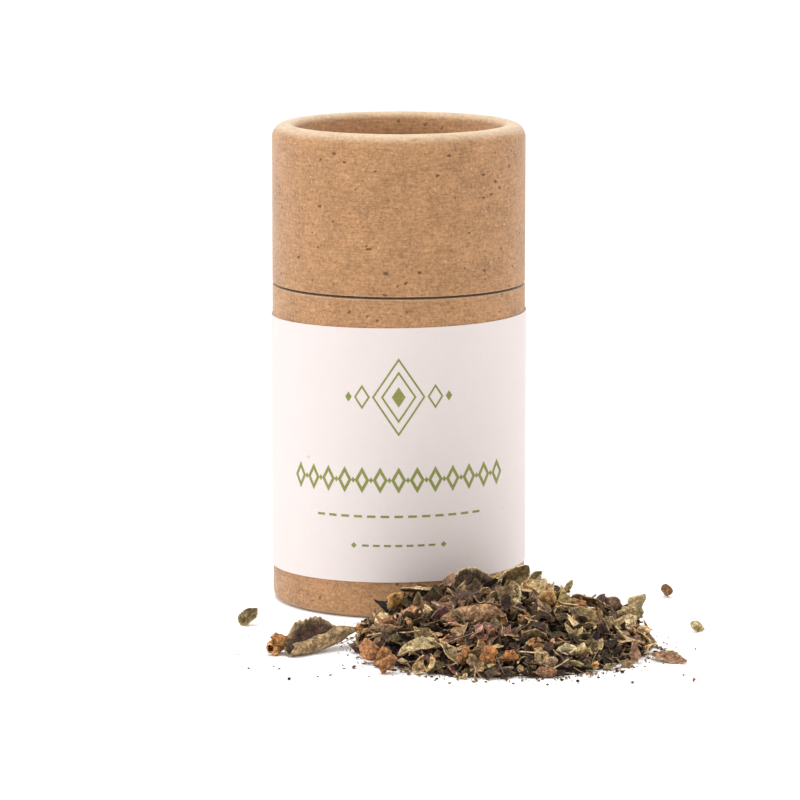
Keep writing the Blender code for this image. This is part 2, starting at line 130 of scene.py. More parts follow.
# The room. A light is its name, its place in metres from the tube's foot, its side and its power.
ROOM_LIGHT = 1.04
FLOOR_HALF = 6.0
FLOOR_WHITE = 0.97
LIGHTS_AIM_UP = 0.05
LIGHTS = (
    ("window_left", (-0.8, -0.3, 0.5), 0.4, 1.8),
    ("window_right", (0.85, 0.25, 0.35), 0.45, 1.2),
    ("overhead", (-0.2, -0.05, 0.9), 0.3, 3.4),
)

# Colours, linear. BRIGHTEST caps a bit's strongest channel, and DARKEST each of them.
KRAFT = (0.40, 0.214, 0.101)
KRAFT_PALE = (0.66, 0.53, 0.36)
KRAFT_SPECK = (0.22, 0.105, 0.048)
KRAFT_DARK = (0.07, 0.03, 0.016)
PAPER = (0.708, 0.634, 0.615)
INK = (0.205, 0.235, 0.05)
OLIVE = (0.20, 0.138, 0.058)
KHAKI = (0.50, 0.355, 0.175)
BROWN = (0.21, 0.115, 0.065)
UMBER = (0.074, 0.041, 0.028)
PLUM = (0.15, 0.07, 0.06)
RUST = (0.43, 0.17, 0.055)
CIGAR = (0.34, 0.175, 0.10)
AMBER = (0.56, 0.27, 0.095)
STRAW = (0.70, 0.53, 0.29)
SOOT = (0.012, 0.009, 0.008)
BRIGHTEST = 0.8
DARKEST = 0.004

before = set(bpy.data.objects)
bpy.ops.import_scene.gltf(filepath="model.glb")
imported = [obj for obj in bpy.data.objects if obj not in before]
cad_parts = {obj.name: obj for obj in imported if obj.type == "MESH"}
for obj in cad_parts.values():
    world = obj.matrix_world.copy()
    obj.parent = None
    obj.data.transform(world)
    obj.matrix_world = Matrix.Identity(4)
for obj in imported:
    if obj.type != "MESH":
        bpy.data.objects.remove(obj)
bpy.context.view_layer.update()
body_low, body_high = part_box("tube_body")
cap_low, cap_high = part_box("cap_shell")
AXIS_X = (body_low.x + body_high.x) / 2
AXIS_Y = (body_low.y + body_high.y) / 2
TUBE_RADIUS = (body_high.x - body_low.x) / 2 / MM
BODY_HEIGHT = body_high.z / MM
CAP_BOTTOM = cap_low.z / MM
TUBE_HEIGHT = cap_high.z / MM


def to_frame(points):
    """Millimetres from the tube's axis to metres in the frame."""
    return np.asarray(points, float) * MM + np.array([AXIS_X, AXIS_Y, 0.0])


def new_piece(name, points, faces, material, smooth=40.0, tints=None, wear_and_highlight=None):
    """A mesh piece that rides on the part. Points are in millimetres from the tube's axis.

    tints is a colour for each point, and the last argument says from 0 to 1 how much paler the board is
    there: worn fibres and a painted highlight.
    """
    mesh = bpy.data.meshes.new(name)
    mesh.from_pydata(to_frame(points).tolist(), [], [tuple(face) for face in faces])
    mesh.update()
    if tints is not None:
        attribute = mesh.attributes.new("tint", "FLOAT_COLOR", "POINT")
        colours = np.ones((len(points), 4), np.float32)
        colours[:, :3] = tints
        attribute.data.foreach_set("color", colours.ravel())
    if wear_and_highlight is not None:
        attribute = mesh.attributes.new("wear_and_highlight", "FLOAT", "POINT")
        attribute.data.foreach_set("value", np.asarray(wear_and_highlight, np.float32))
    mesh.shade_smooth()
    mesh.set_sharp_from_angle(angle=math.radians(smooth))
    mesh.materials.append(material)
    piece = bpy.data.objects.new(name, mesh)
    bpy.context.scene.collection.objects.link(piece)
    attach(piece, "root")
    return piece


def between(a, b, share):
    """The mix of two colours, from a at share 0 to b at share 1."""
    return np.array(a) * (1 - share) + np.array(b) * share


# Shader groups


class Nodes:
    """Short ways to add and join nodes in one tree."""

    def __init__(self, tree):
        self.tree = tree

    def add(self, kind, inputs=None, **settings):
        """A new node. Each input is given a value, or joined to the socket that is its value."""
        node = self.tree.nodes.new(kind)
        for name, value in settings.items():
            setattr(node, name, value)
        for key, value in (inputs or {}).items():
            self.feed(node.inputs[key], value)
        return node

    def feed(self, socket, value):
        if isinstance(value, bpy.types.NodeSocket):
            self.tree.links.new(value, socket)
        else:
            socket.default_value = value

    def math(self, operation, a, b=0.0):
        """One sum on one or two numbers."""
        return self.add("ShaderNodeMath", {0: a, 1: b}, operation=operation).outputs[0]

    def blend(self, mode, factor, a, b):
        inputs = {"Factor": factor, "A": a, "B": b}
        return self.add("ShaderNodeMix", inputs, data_type="RGBA", blend_type=mode).outputs["Result"]

    def shaded(self, colour, tone):
        """The colour times a tone that is one number."""
        grey = self.add("ShaderNodeCombineColor", {0: tone, 1: tone, 2: tone}).outputs[0]
        return self.blend("MULTIPLY", 1.0, colour, grey)

    def spread(self, value, low, high, new_low=0.0, new_high=1.0):
        node = self.add("ShaderNodeMapRange", {0: value, 1: low, 2: high, 3: new_low, 4: new_high})
        return node.outputs[0]

    def noise(self, vector, scale, detail=3.0, rough=0.5):
        inputs = {"Vector": vector, "Scale": scale, "Detail": detail, "Roughness": rough}
        return self.add("ShaderNodeTexNoise", inputs).outputs["Fac"]

    def scaled(self, vector, factors, shift=(0.0, 0.0, 0.0)):
        node = self.add("ShaderNodeMapping", {"Vector": vector, "Scale": factors, "Location": shift})
        return node.outputs["Vector"]


def new_group(name, inputs, outputs):
    """An empty shader group whose sockets all carry numbers. Returns (group, nodes, inputs, outputs)."""
    group = bpy.data.node_groups.new(name, "ShaderNodeTree")
    for label, value in inputs.items():
        socket = group.interface.new_socket(label, in_out="INPUT", socket_type="NodeSocketFloat")
        socket.default_value = value
    for label in outputs:
        group.interface.new_socket(label, in_out="OUTPUT", socket_type="NodeSocketFloat")
    nodes = Nodes(group)
    entry = nodes.add("NodeGroupInput")
    leave = nodes.add("NodeGroupOutput")
    return group, nodes, entry.outputs, leave.inputs


def paper_fibre_group():
    """Pulp: streaks that run round the tube, clouds, mottling and grain, and three kinds of bark fleck."""
    values = {"Streak": 1.0, "Cloud": 1.0, "Mottle": 1.0, "Fleck Share": 0.1}
    outputs = ("Tone", "Specks", "Dark Flecks", "Pale Flecks", "Height")
    group, n, given, out = new_group("paper_fibre", values, outputs)
    place = n.add("ShaderNodeTexCoord").outputs["Object"]
    streak = n.noise(n.scaled(place, (330.0, 330.0, 2600.0)), 1.0, 3.0, 0.6)
    tone = n.math("MULTIPLY", n.math("SUBTRACT", streak, 0.5), given["Streak"])
    for label, scale, detail in (("Cloud", 130.0, 4.0), ("Mottle", 1300.0, 3.0)):
        layer = n.math("SUBTRACT", n.noise(place, scale, detail, 0.62), 0.5)
        tone = n.math("ADD", tone, n.math("MULTIPLY", layer, given[label]))
    grain = n.noise(place, 3800.0, 2.0, 0.6)
    tone = n.math("ADD", tone, n.math("MULTIPLY", n.math("SUBTRACT", grain, 0.5), 0.6))
    n.feed(out["Tone"], tone)
    warp = n.add("ShaderNodeTexNoise", {"Vector": place, "Scale": 900.0, "Detail": 1.0})
    inputs = {0: warp.outputs["Color"], 1: (0.0009, 0.0009, 0.0009), 2: place}
    bent = n.add("ShaderNodeVectorMath", inputs, operation="MULTIPLY_ADD").outputs[0]
    for name, scale, shift, reach, share in (
        ("Dark Flecks", 620.0, 0.0, 0.36, 2.2),
        ("Pale Flecks", 860.0, 3.7, 0.34, 2.4),
        ("Specks", 1250.0, 7.3, 0.40, 3.4),
    ):
        leaning = n.add("ShaderNodeMapping", {"Vector": bent, "Rotation": (0.4, 0.3, 0.2 + shift)})
        stretched = n.scaled(leaning.outputs[0], (0.85, 0.85, 1.3), (shift, shift, shift))
        cells = n.add("ShaderNodeTexVoronoi", {"Vector": stretched, "Scale": scale})
        pick = n.add("ShaderNodeSeparateColor", {"Color": cells.outputs["Color"]}).outputs
        chosen = n.math("LESS_THAN", pick[0], n.math("MULTIPLY", given["Fleck Share"], share))
        size = n.spread(n.math("POWER", pick[1], 1.8), 0.0, 1.0, 0.25 * reach, reach)
        inside = n.math("SUBTRACT", size, cells.outputs["Distance"])
        n.feed(out[name], n.math("MULTIPLY", chosen, n.spread(inside, 0.0, 0.1)))
    n.feed(out["Height"], n.math("ADD", n.math("MULTIPLY", streak, 0.6), n.math("MULTIPLY", grain, 0.5)))
    return group


def dried_grain_group():
    """Shrunken plant skin: blotches, creases (0 in the crease), a fine crinkle and short pale hairs."""
    values = {"Blotch Size": 1.5, "Crinkle Size": 0.35}
    outputs = ("Blotch", "Crease", "Hair", "Height")
    group, n, given, out = new_group("dried_grain", values, outputs)
    place = n.add("ShaderNodeTexCoord").outputs["Object"]
    blotch_scale = n.math("DIVIDE", 1000.0, given["Blotch Size"])
    crinkle_scale = n.math("DIVIDE", 1000.0, given["Crinkle Size"])
    blotch = n.noise(place, blotch_scale, 4.0, 0.62)
    crinkle = n.noise(place, crinkle_scale, 3.0, 0.6)
    hair = n.noise(n.scaled(place, (1.0, 1.6, 0.5)), 5200.0, 1.0, 0.5)
    fold = n.noise(place, n.math("MULTIPLY", blotch_scale, 0.9), 2.0, 0.6)
    crease = n.spread(n.math("ABSOLUTE", n.math("SUBTRACT", fold, 0.5)), 0.0, 0.07)
    n.feed(out["Blotch"], blotch)
    n.feed(out["Crease"], crease)
    n.feed(out["Hair"], n.spread(hair, 0.58, 0.72))
    rise = n.math("ADD", n.math("MULTIPLY", crinkle, 0.7), n.math("MULTIPLY", crease, 0.9))
    n.feed(out["Height"], n.math("ADD", rise, n.math("MULTIPLY", hair, 0.2)))
    return group


PAPER_FIBRE = paper_fibre_group()
DRIED_GRAIN = dried_grain_group()


def new_material(name, roughness):
    """Returns (material, nodes, Principled shader)."""
    material = bpy.data.materials.new(name)
    material.use_nodes = True
    shader = material.node_tree.nodes["Principled BSDF"]
    shader.inputs["Roughness"].default_value = roughness
    shader.inputs["Specular IOR Level"].default_value = 0.3
    return material, Nodes(material.node_tree), shader


def bump(n, shader, height, strength, distance_mm):
    """The shader's normals, roughened by this height."""
    node = n.add("ShaderNodeBump", {"Height": height, "Strength": strength, "Distance": distance_mm * MM})
    n.feed(shader.inputs["Normal"], node.outputs["Normal"])


def board_material(name, base, tone_depth, fleck_share):
    """Kraft board whose pulp swings in tone by tone_depth, paler where its mask says, for worn fibres and a
    painted highlight.
    """
    material, n, shader = new_material(name, 0.88)
    shader.inputs["Sheen Weight"].default_value = 0.25
    shader.inputs["Sheen Roughness"].default_value = 0.45
    values = {"Streak": 0.8, "Cloud": 0.55, "Mottle": 1.2, "Fleck Share": fleck_share}
    fibre = n.add("ShaderNodeGroup", values, node_tree=PAPER_FIBRE).outputs
    tone = n.spread(fibre["Tone"], -0.45, 0.45, 1.0 - tone_depth, 1.0 + tone_depth)
    colour = n.shaded((*base, 1.0), tone)
    for flecks, share, fleck_colour in (
        ("Specks", 0.5, KRAFT_SPECK),
        ("Pale Flecks", 0.42, KRAFT_PALE),
        ("Dark Flecks", 0.75, KRAFT_DARK),
    ):
        colour = n.blend("MIX", n.math("MULTIPLY", fibre[flecks], share), colour, (*fleck_colour, 1.0))
    # Paled towards KRAFT_PALE on the crest and the cut edges: worn fibres and a painted highlight.
    wear_and_highlight = n.add("ShaderNodeAttribute", attribute_name="wear_and_highlight").outputs["Fac"]
    patchy = n.spread(fibre["Tone"], -0.3, 0.3, 0.6, 1.0)
    colour = n.blend("MIX", n.math("MULTIPLY", wear_and_highlight, patchy), colour, (*KRAFT_PALE, 1.0))
    n.feed(shader.inputs["Base Color"], colour)
    bump(n, shader, fibre["Height"], 0.4, 0.07)
    return material


def label_material():
    """Smooth pale paper, a little clouded, with a bark fleck here and there."""
    material, n, shader = new_material("label_paper", 0.62)
    values = {"Streak": 0.3, "Cloud": 0.7, "Fleck Share": 0.004}
    fibre = n.add("ShaderNodeGroup", values, node_tree=PAPER_FIBRE).outputs
    colour = n.shaded((*PAPER, 1.0), n.spread(fibre["Tone"], -0.45, 0.45, 0.97, 1.03))
    colour = n.blend("MIX", n.math("MULTIPLY", fibre["Dark Flecks"], 0.3), colour, (*KRAFT, 1.0))
    n.feed(shader.inputs["Base Color"], colour)
    bump(n, shader, fibre["Height"], 0.2, 0.03)
    return material


def ink_material():
    """Olive ink that lies a little unevenly on the paper."""
    material, n, shader = new_material("olive_ink", 0.5)
    fibre = n.add("ShaderNodeGroup", node_tree=PAPER_FIBRE).outputs
    thin = n.spread(fibre["Tone"], -0.1, 0.5, 0.0, 0.35)
    n.feed(shader.inputs["Base Color"], n.blend("MIX", thin, (*INK, 1.0), (*KHAKI, 1.0)))
    return material


def herb_material(name, roughness, blotch_size, crinkle_size, hair_colour, hair_share, depth):
    """Dried plant: each bit's own tint, blotched by depth, darker in its creases for veins and painted
    shade, and crinkled, with pale hairs over it.
    """
    material, n, shader = new_material(name, roughness)
    tint = n.add("ShaderNodeAttribute", attribute_name="tint").outputs["Color"]
    values = {"Blotch Size": blotch_size, "Crinkle Size": crinkle_size}
    grain = n.add("ShaderNodeGroup", values, node_tree=DRIED_GRAIN).outputs
    blotched = n.spread(grain["Blotch"], 0.3, 0.7, 1.0 - depth, 1.0 + depth)
    # Darker in the creases: partly veins, partly painted shade.
    crease_shade = n.spread(grain["Crease"], 0.0, 1.0, 1.0 - 0.8 * depth, 1.1)
    colour = n.shaded(tint, n.math("MULTIPLY", blotched, crease_shade))
    hair = n.math("MULTIPLY", grain["Hair"], hair_share)
    n.feed(shader.inputs["Base Color"], n.blend("MIX", hair, colour, (*hair_colour, 1.0)))
    bump(n, shader, grain["Height"], 0.9, 0.22)
    return material


KRAFT_BOARD = board_material("kraft_board", KRAFT, 0.5, 0.11)
# The discs and neck sleeve inside the tube use the same board darkened a quarter of the way to its specks:
# painted shade.
KRAFT_SHADED_INSIDE = board_material("kraft_board_shaded_inside", between(KRAFT, KRAFT_SPECK, 0.25), 0.3, 0.08)
LABEL_PAPER = label_material()
OLIVE_INK = ink_material()
LEAF = herb_material("dried_leaf", 0.82, 1.3, 0.35, KHAKI, 0.15, 0.62)
CALYX = herb_material("dried_calyx", 0.75, 0.8, 0.3, STRAW, 0.34, 0.62)
STEM = herb_material("dried_stem", 0.7, 1.0, 0.25, STRAW, 0.2, 0.35)
CRUMB = herb_material("herb_crumb", 0.85, 0.8, 0.3, KHAKI, 0.08, 0.6)


# The tube's paper parts


def arc(centre_r, centre_z, radius, start, end, steps):
    """Points (r, z) on an arc, angles in degrees from +r towards +z."""
    angles = np.radians(np.linspace(start, end, steps + 1))
    return [(centre_r + radius * math.cos(a), centre_z + radius * math.sin(a)) for a in angles]


def subdivided(profile, longest):
    """The same closed outline with no stretch longer than this."""
    points = []
    for (r0, z0), (r1, z1) in zip(profile, profile[1:] + profile[:1]):
        steps = max(1, math.ceil(math.hypot(r1 - r0, z1 - z0) / longest))
        points += [(r0 + (r1 - r0) * k / steps, z0 + (z1 - z0) * k / steps) for k in range(steps)]
    return points


def turned(name, profile, material, wear_and_highlight_at=None):
    """A closed outline (r, z) turned about the tube's axis. The last argument, a function of (r, z), says
    from 0 to 1 how pale it is, from wear and a painted highlight.
    """
    profile = np.array(profile)
    count = len(profile)
    wear_and_highlight = [wear_and_highlight_at(r, z) if wear_and_highlight_at else 0.0 for r, z in profile]
    points = []
    for angle in np.linspace(0, 2 * math.pi, ROUND_STEPS, endpoint=False):
        r = profile[:, 0]
        points.append(np.stack([r * math.sin(angle), -r * math.cos(angle), profile[:, 1]], 1))
    faces = []
    for i in range(ROUND_STEPS):
        j = (i + 1) % ROUND_STEPS
        for k in range(count):
            m = (k + 1) % count
            faces.append((i * count + k, i * count + m, j * count + m, j * count + k))
    return new_piece(name, np.concatenate(points), faces, material, 50.0, wear_and_highlight=wear_and_highlight * ROUND_STEPS)


def crest_wear_and_highlight(r, z):
    """Painted highlight and wear: most on the crest of the roll, and a little on the cap's cut edge."""
    crest = min(1.0, max(0.0, (z - TUBE_HEIGHT + 1.9) / 1.5))
    return max(0.8 * crest, 0.55 if z < CAP_BOTTOM + CUT_EDGE else 0.0)


def foot_wear_and_edge_highlight(r, z):
    """Painted highlight and wear a little on the body's cut edge, and wear under the foot."""
    return 0.45 if z > BODY_HEIGHT - CUT_EDGE else 0.3 * min(1.0, max(0.0, 1.2 - z))


def make_tube():
    """The wound body, the slip-on cap, their let-in discs and the neck sleeve between them."""
    inner = TUBE_RADIUS - BOARD
    throat = TUBE_RADIUS - FOOT_WIDTH
    wall = arc(TUBE_RADIUS - CUT_EDGE, BODY_HEIGHT - CUT_EDGE, CUT_EDGE, 90, 0, 3)
    wall += arc(TUBE_RADIUS - FOOT_OUTER_ROUND, FOOT_OUTER_ROUND, FOOT_OUTER_ROUND, 0, -90, 9)
    wall += arc(throat + FOOT_INNER_ROUND, FOOT_INNER_ROUND, FOOT_INNER_ROUND, -90, -180, 6)
    wall += [(throat, FOOT_DEPTH), (inner, FOOT_DEPTH)]
    wall += arc(inner + CUT_EDGE, BODY_HEIGHT - CUT_EDGE, CUT_EDGE, 180, 90, 3)
    body = turned("tube_wall", subdivided(wall, 6.0), KRAFT_BOARD, foot_wear_and_edge_highlight)
    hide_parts("tube_body")

    throat = TUBE_RADIUS - CROWN_WIDTH
    crown_foot = TUBE_HEIGHT - CROWN_DEPTH + GLUE_GAP
    crown = arc(
        TUBE_RADIUS - CROWN_OUTER_ROUND, TUBE_HEIGHT - CROWN_OUTER_ROUND, CROWN_OUTER_ROUND, 90, 0, 12
    )
    crown += arc(TUBE_RADIUS - CUT_EDGE, CAP_BOTTOM + CUT_EDGE, CUT_EDGE, 0, -90, 3)
    crown += arc(inner + CUT_EDGE, CAP_BOTTOM + CUT_EDGE, CUT_EDGE, -90, -180, 3)
    crown += [(inner, crown_foot), (throat, crown_foot)]
    crown += arc(throat + CROWN_INNER_ROUND, TUBE_HEIGHT - CROWN_INNER_ROUND, CROWN_INNER_ROUND, 180, 90, 7)
    cap = turned("cap_wall", subdivided(crown, 6.0), KRAFT_BOARD, crest_wear_and_highlight)
    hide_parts("cap_shell")

    disc_radius = inner - GLUE_GAP
    for name, node, top in (
        ("base_board", "base_disc", FOOT_DEPTH + GLUE_GAP + DISC_BOARD),
        ("cap_board", "cap_disc", TUBE_HEIGHT - CROWN_DEPTH),
    ):
        disc = [(DISC_EYE, top), (disc_radius - CUT_EDGE, top), (disc_radius, top - CUT_EDGE)]
        disc += [(disc_radius, top - DISC_BOARD), (DISC_EYE, top - DISC_BOARD)]
        piece = turned(name, subdivided(disc, 5.0), KRAFT_SHADED_INSIDE)
        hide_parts(node)

    low = FOOT_DEPTH + DISC_BOARD + 2 * GLUE_GAP
    high = TUBE_HEIGHT - CROWN_DEPTH - DISC_BOARD - GLUE_GAP
    bore = disc_radius - NECK_BOARD
    sleeve = [(disc_radius, high), (disc_radius, low), (bore, low), (bore, high)]
    neck = turned("neck_wall", subdivided(sleeve, 8.0), KRAFT_SHADED_INSIDE)
    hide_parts("neck_sleeve")


# The label


def on_label(u, v, lift):
    """A point on the label: u round from the front, v up the sheet, lift off its back."""
    angle = u / TUBE_RADIUS
    climb = (angle - math.pi + LABEL_LAP_RISE) / LABEL_LAP_RISE
    lap = (LABEL_SHEET + LABEL_GLUE) * min(1.0, max(0.0, climb))
    radius = TUBE_RADIUS + LABEL_GLUE + lap + lift
    z = LABEL_BOTTOM + v + u * math.tan(LABEL_SKEW)
    return (radius * math.sin(angle), -radius * math.cos(angle), z)


LABEL_START = -math.pi * TUBE_RADIUS
LABEL_END = (math.pi + LABEL_LAP) * TUBE_RADIUS


def label_strip(points, faces, near, far, low, high, closed):
    """One thin solid on the label between two rows of (u, v) points, near on the right of far."""
    start = len(points)
    count = len(near)
    for a, b in zip(near, far):
        points += [on_label(*a, low), on_label(*a, high), on_label(*b, high), on_label(*b, low)]
    for k in range(count if closed else count - 1):
        here = start + 4 * k
        after = start + 4 * ((k + 1) % count)
        for i in range(4):
            j = (i + 1) % 4
            faces.append((here + i, after + i, after + j, here + j))
    if not closed:
        last = len(points) - 1
        faces.append((start, start + 1, start + 2, start + 3))
        faces.append((last, last - 1, last - 2, last - 3))


def make_label_sheet():
    """The sheet, wrapped round the body, with its end lapped over its start at the back."""
    across, up = 260, 24
    column = up + 1
    points = []
    for lift in (0.0, LABEL_SHEET):
        for u in np.linspace(LABEL_START, LABEL_END, across + 1):
            points += [on_label(u, LABEL_HEIGHT * k / up, lift) for k in range(column)]
    out = (across + 1) * column
    faces = []
    for a in range(0, across * column, column):
        b = a + column
        for k in range(up):
            ring = (a + k, b + k, b + k + 1, a + k + 1)
            faces.append(tuple(out + point for point in ring))
            faces.append(ring[::-1])
        faces.append((a, b, out + b, out + a))
        faces.append((out + a + up, out + b + up, b + up, a + up))
    end = across * column
    for k in range(up):
        faces.append((out + k, out + k + 1, k + 1, k))
        faces.append((end + k, end + k + 1, out + end + k + 1, out + end + k))
    sheet = new_piece("label_sheet", points, faces, LABEL_PAPER, smooth=40.0)
    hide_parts("label")


def make_label_print():
    """Lozenges and plain rules in olive ink."""
    points, faces = [], []

    def strip(near, far, closed=False):
        """Ink between two rows of corners, in cells small enough to follow the label's curve."""
        near_row, far_row = [], []
        for k in range(len(near) if closed else len(near) - 1):
            a, b, c, d = near[k], near[(k + 1) % len(near)], far[(k + 1) % len(far)], far[k]
            longest = max(np.abs(b - a).max(), np.abs(c - d).max())
            steps = max(1, math.ceil(longest / INK_CELL))
            near_row += [a + (b - a) * step / steps for step in range(steps)]
            far_row += [d + (c - d) * step / steps for step in range(steps)]
        if not closed:
            near_row.append(near[-1])
            far_row.append(far[-1])
        low, high = LABEL_SHEET + INK_FROM, LABEL_SHEET + INK_TO
        label_strip(points, faces, near_row, far_row, low, high, closed)

    def dashes(steps, step, v, length, width):
        """A broken rule, with this many dashes on each side of the middle one."""
        for k in range(-steps, steps + 1):
            ends = np.array([(k * step - length / 2, v), (k * step + length / 2, v)])
            strip(ends - (0, width / 2), ends + (0, width / 2))

    def lozenge(u, v, half_u, half_v, line=0.0):
        """An open lozenge, or a filled one where line is 0."""
        corners = np.array([(0, -1), (1, 0), (0, 1), (-1, 0)]) * (half_u, half_v)
        if line:
            share = 1 - line / (half_u * half_v / math.hypot(half_u, half_v))
            strip((u, v) + corners, (u, v) + corners * share, closed=True)
        else:
            strip((u, v) + corners[[0, 1]], (u, v) + corners[[3, 2]])

    lozenge(0.0, FIGURE_UP, 6.2, 9.2, FINE_LINE)
    lozenge(0.0, FIGURE_UP, 4.1, 6.1, FINE_LINE)
    lozenge(0.0, FIGURE_UP, 1.6, 2.4)
    for side in (-1, 1):
        lozenge(side * 8.6, FIGURE_UP, 1.9, 2.9, FINE_LINE)
        lozenge(side * 11.9, FIGURE_UP, 0.8, 1.2)
        lozenge(side * 10.6, SHORT_RULE_UP, 0.7, 0.7)
    for k in range(-6, 7):
        lozenge(k * CHAIN_STEP, CHAIN_UP, 1.75, 3.1, 0.7)
    for k in range(-6, 6):
        lozenge((k + 0.5) * CHAIN_STEP, CHAIN_UP, 0.5, 0.7)
    dashes(6, LONG_DASH_STEP, LONG_RULE_UP, 2.0, 0.55)
    dashes(3, SHORT_DASH_STEP, SHORT_RULE_UP, 1.6, 0.5)
    ink = new_piece("label_print", points, faces, OLIVE_INK, smooth=30.0)


# Bits of herb. Each builder gives a solid (points, faces, tints) round the bit's own middle.


def jitter(draw, colour, share):
    """The colour, lighter or darker and a little warmer or cooler by chance."""
    value = np.array(colour) * (1 + draw.uniform(-share, share))
    return value * (1 + draw.uniform(-0.08, 0.08, 3))


def thick_sheet(middle, triangles, rim, thickness, top_tint, under_tint):
    """A closed thin solid round a sheet of points. rim lists its edge points in order, anticlockwise."""
    middle = np.asarray(middle, float)
    triangles = np.asarray(triangles)
    a, b, c = (middle[triangles[:, corner]] for corner in range(3))
    sides = np.cross(b - a, c - a)
    normals = np.zeros_like(middle)
    for corner in range(3):
        np.add.at(normals, triangles[:, corner], sides)
    normals /= np.maximum(np.linalg.norm(normals, axis=1, keepdims=True), 1e-9)
    count = len(middle)
    points = np.concatenate([middle + normals * thickness / 2, middle - normals * thickness / 2])
    rim = np.asarray(rim)
    after = np.roll(rim, -1)
    faces = [triangles, triangles[:, ::-1] + count]
    faces.append(np.stack([rim, rim + count, after + count], 1))
    faces.append(np.stack([rim, after + count, after], 1))
    return points, np.concatenate(faces), np.concatenate([top_tint, under_tint])


def rolled(flat, heading, curl, arch):
    """Flat (u, v) points rolled about the line at this heading, and arched along it, both in 1/mm."""
    c, s = math.cos(heading), math.sin(heading)
    along = flat[:, 0] * c + flat[:, 1] * s
    across = -flat[:, 0] * s + flat[:, 1] * c
    if abs(curl) > 1e-4:
        side = np.sin(across * curl) / curl
        rise = (1 - np.cos(across * curl)) / curl
    else:
        side, rise = across, 0.0 * across
    rise = rise + 0.5 * arch * along**2
    return np.stack([along * c - side * s, along * s + side * c, rise], 1)


def crumpled(draw, points, amount, size):
    """The points pushed about by a few waves at random, of about this size in millimetres."""
    for _ in range(5):
        wave = draw.normal(0, 1, 3)
        wave *= 2 * math.pi / size * draw.uniform(0.6, 1.5) / np.linalg.norm(wave)
        push = draw.normal(0, 1, 3)
        push *= amount / np.linalg.norm(push)
        points = points + np.sin(points @ wave + draw.uniform(0, 6.3))[:, None] * push
    return points


def leaf_scrap(draw, length, tints, corners, split, rings, thickness, curl):
    """A broken bit of leaf, angular and ragged, curled and wrinkled.

    Its outline has split steps on each of its sides, and the leaf has rings of points inside it.
    """
    width = length * draw.uniform(0.45, 0.9)
    first = draw.uniform(0, 2 * math.pi)
    angles = first + (np.arange(corners) + draw.uniform(-0.3, 0.3, corners)) * 2 * math.pi / corners
    reach = draw.uniform(0.75, 1.15, corners)
    hard = np.stack([0.5 * length * reach * np.cos(angles), 0.5 * width * reach * np.sin(angles)], 1)
    outline = []
    for a, b in zip(hard, np.roll(hard, -1, 0)):
        bulge = draw.uniform(-0.1, 0.2)
        for k in range(split):
            share = k / split
            rag = draw.uniform(-0.06, 0.06) if k else 0.0
            push = 1 + bulge * 4 * share * (1 - share) + rag
            outline.append((a * (1 - share) + b * share) * push)
    outline = np.array(outline)
    count = len(outline)
    levels = np.linspace(0, 1, rings + 1)[1:] ** 0.8
    flat = np.concatenate([[[0.0, 0.0]]] + [outline * level for level in levels])
    triangles = [(0, 1 + i, 1 + (i + 1) % count) for i in range(count)]
    for ring in range(rings - 1):
        a, b = 1 + ring * count, 1 + (ring + 1) * count
        for i in range(count):
            j = (i + 1) % count
            triangles += [(a + i, b + i, b + j), (a + i, b + j, a + j)]
    middle = rolled(flat, draw.uniform(0, math.pi), draw.normal(0, curl), draw.normal(0, 0.4 * curl))
    crease = draw.uniform(0, math.pi)
    fold = max(0.0, draw.normal(0.1, 0.45))
    middle[:, 2] += fold * np.abs(flat @ np.array([math.cos(crease), math.sin(crease)]))
    middle = crumpled(draw, middle, 0.03 * length, 0.7 * length)
    edge = np.concatenate([[0.0]] + [np.full(count, level) for level in levels])[:, None]
    top, under = tints
    top_tint = top * (0.85 + 0.6 * edge**4)
    under_tint = under * (0.85 + 0.4 * edge**4)
    rim = np.arange(1 + (rings - 1) * count, 1 + rings * count)
    return thick_sheet(middle, triangles, rim, thickness, top_tint, under_tint)


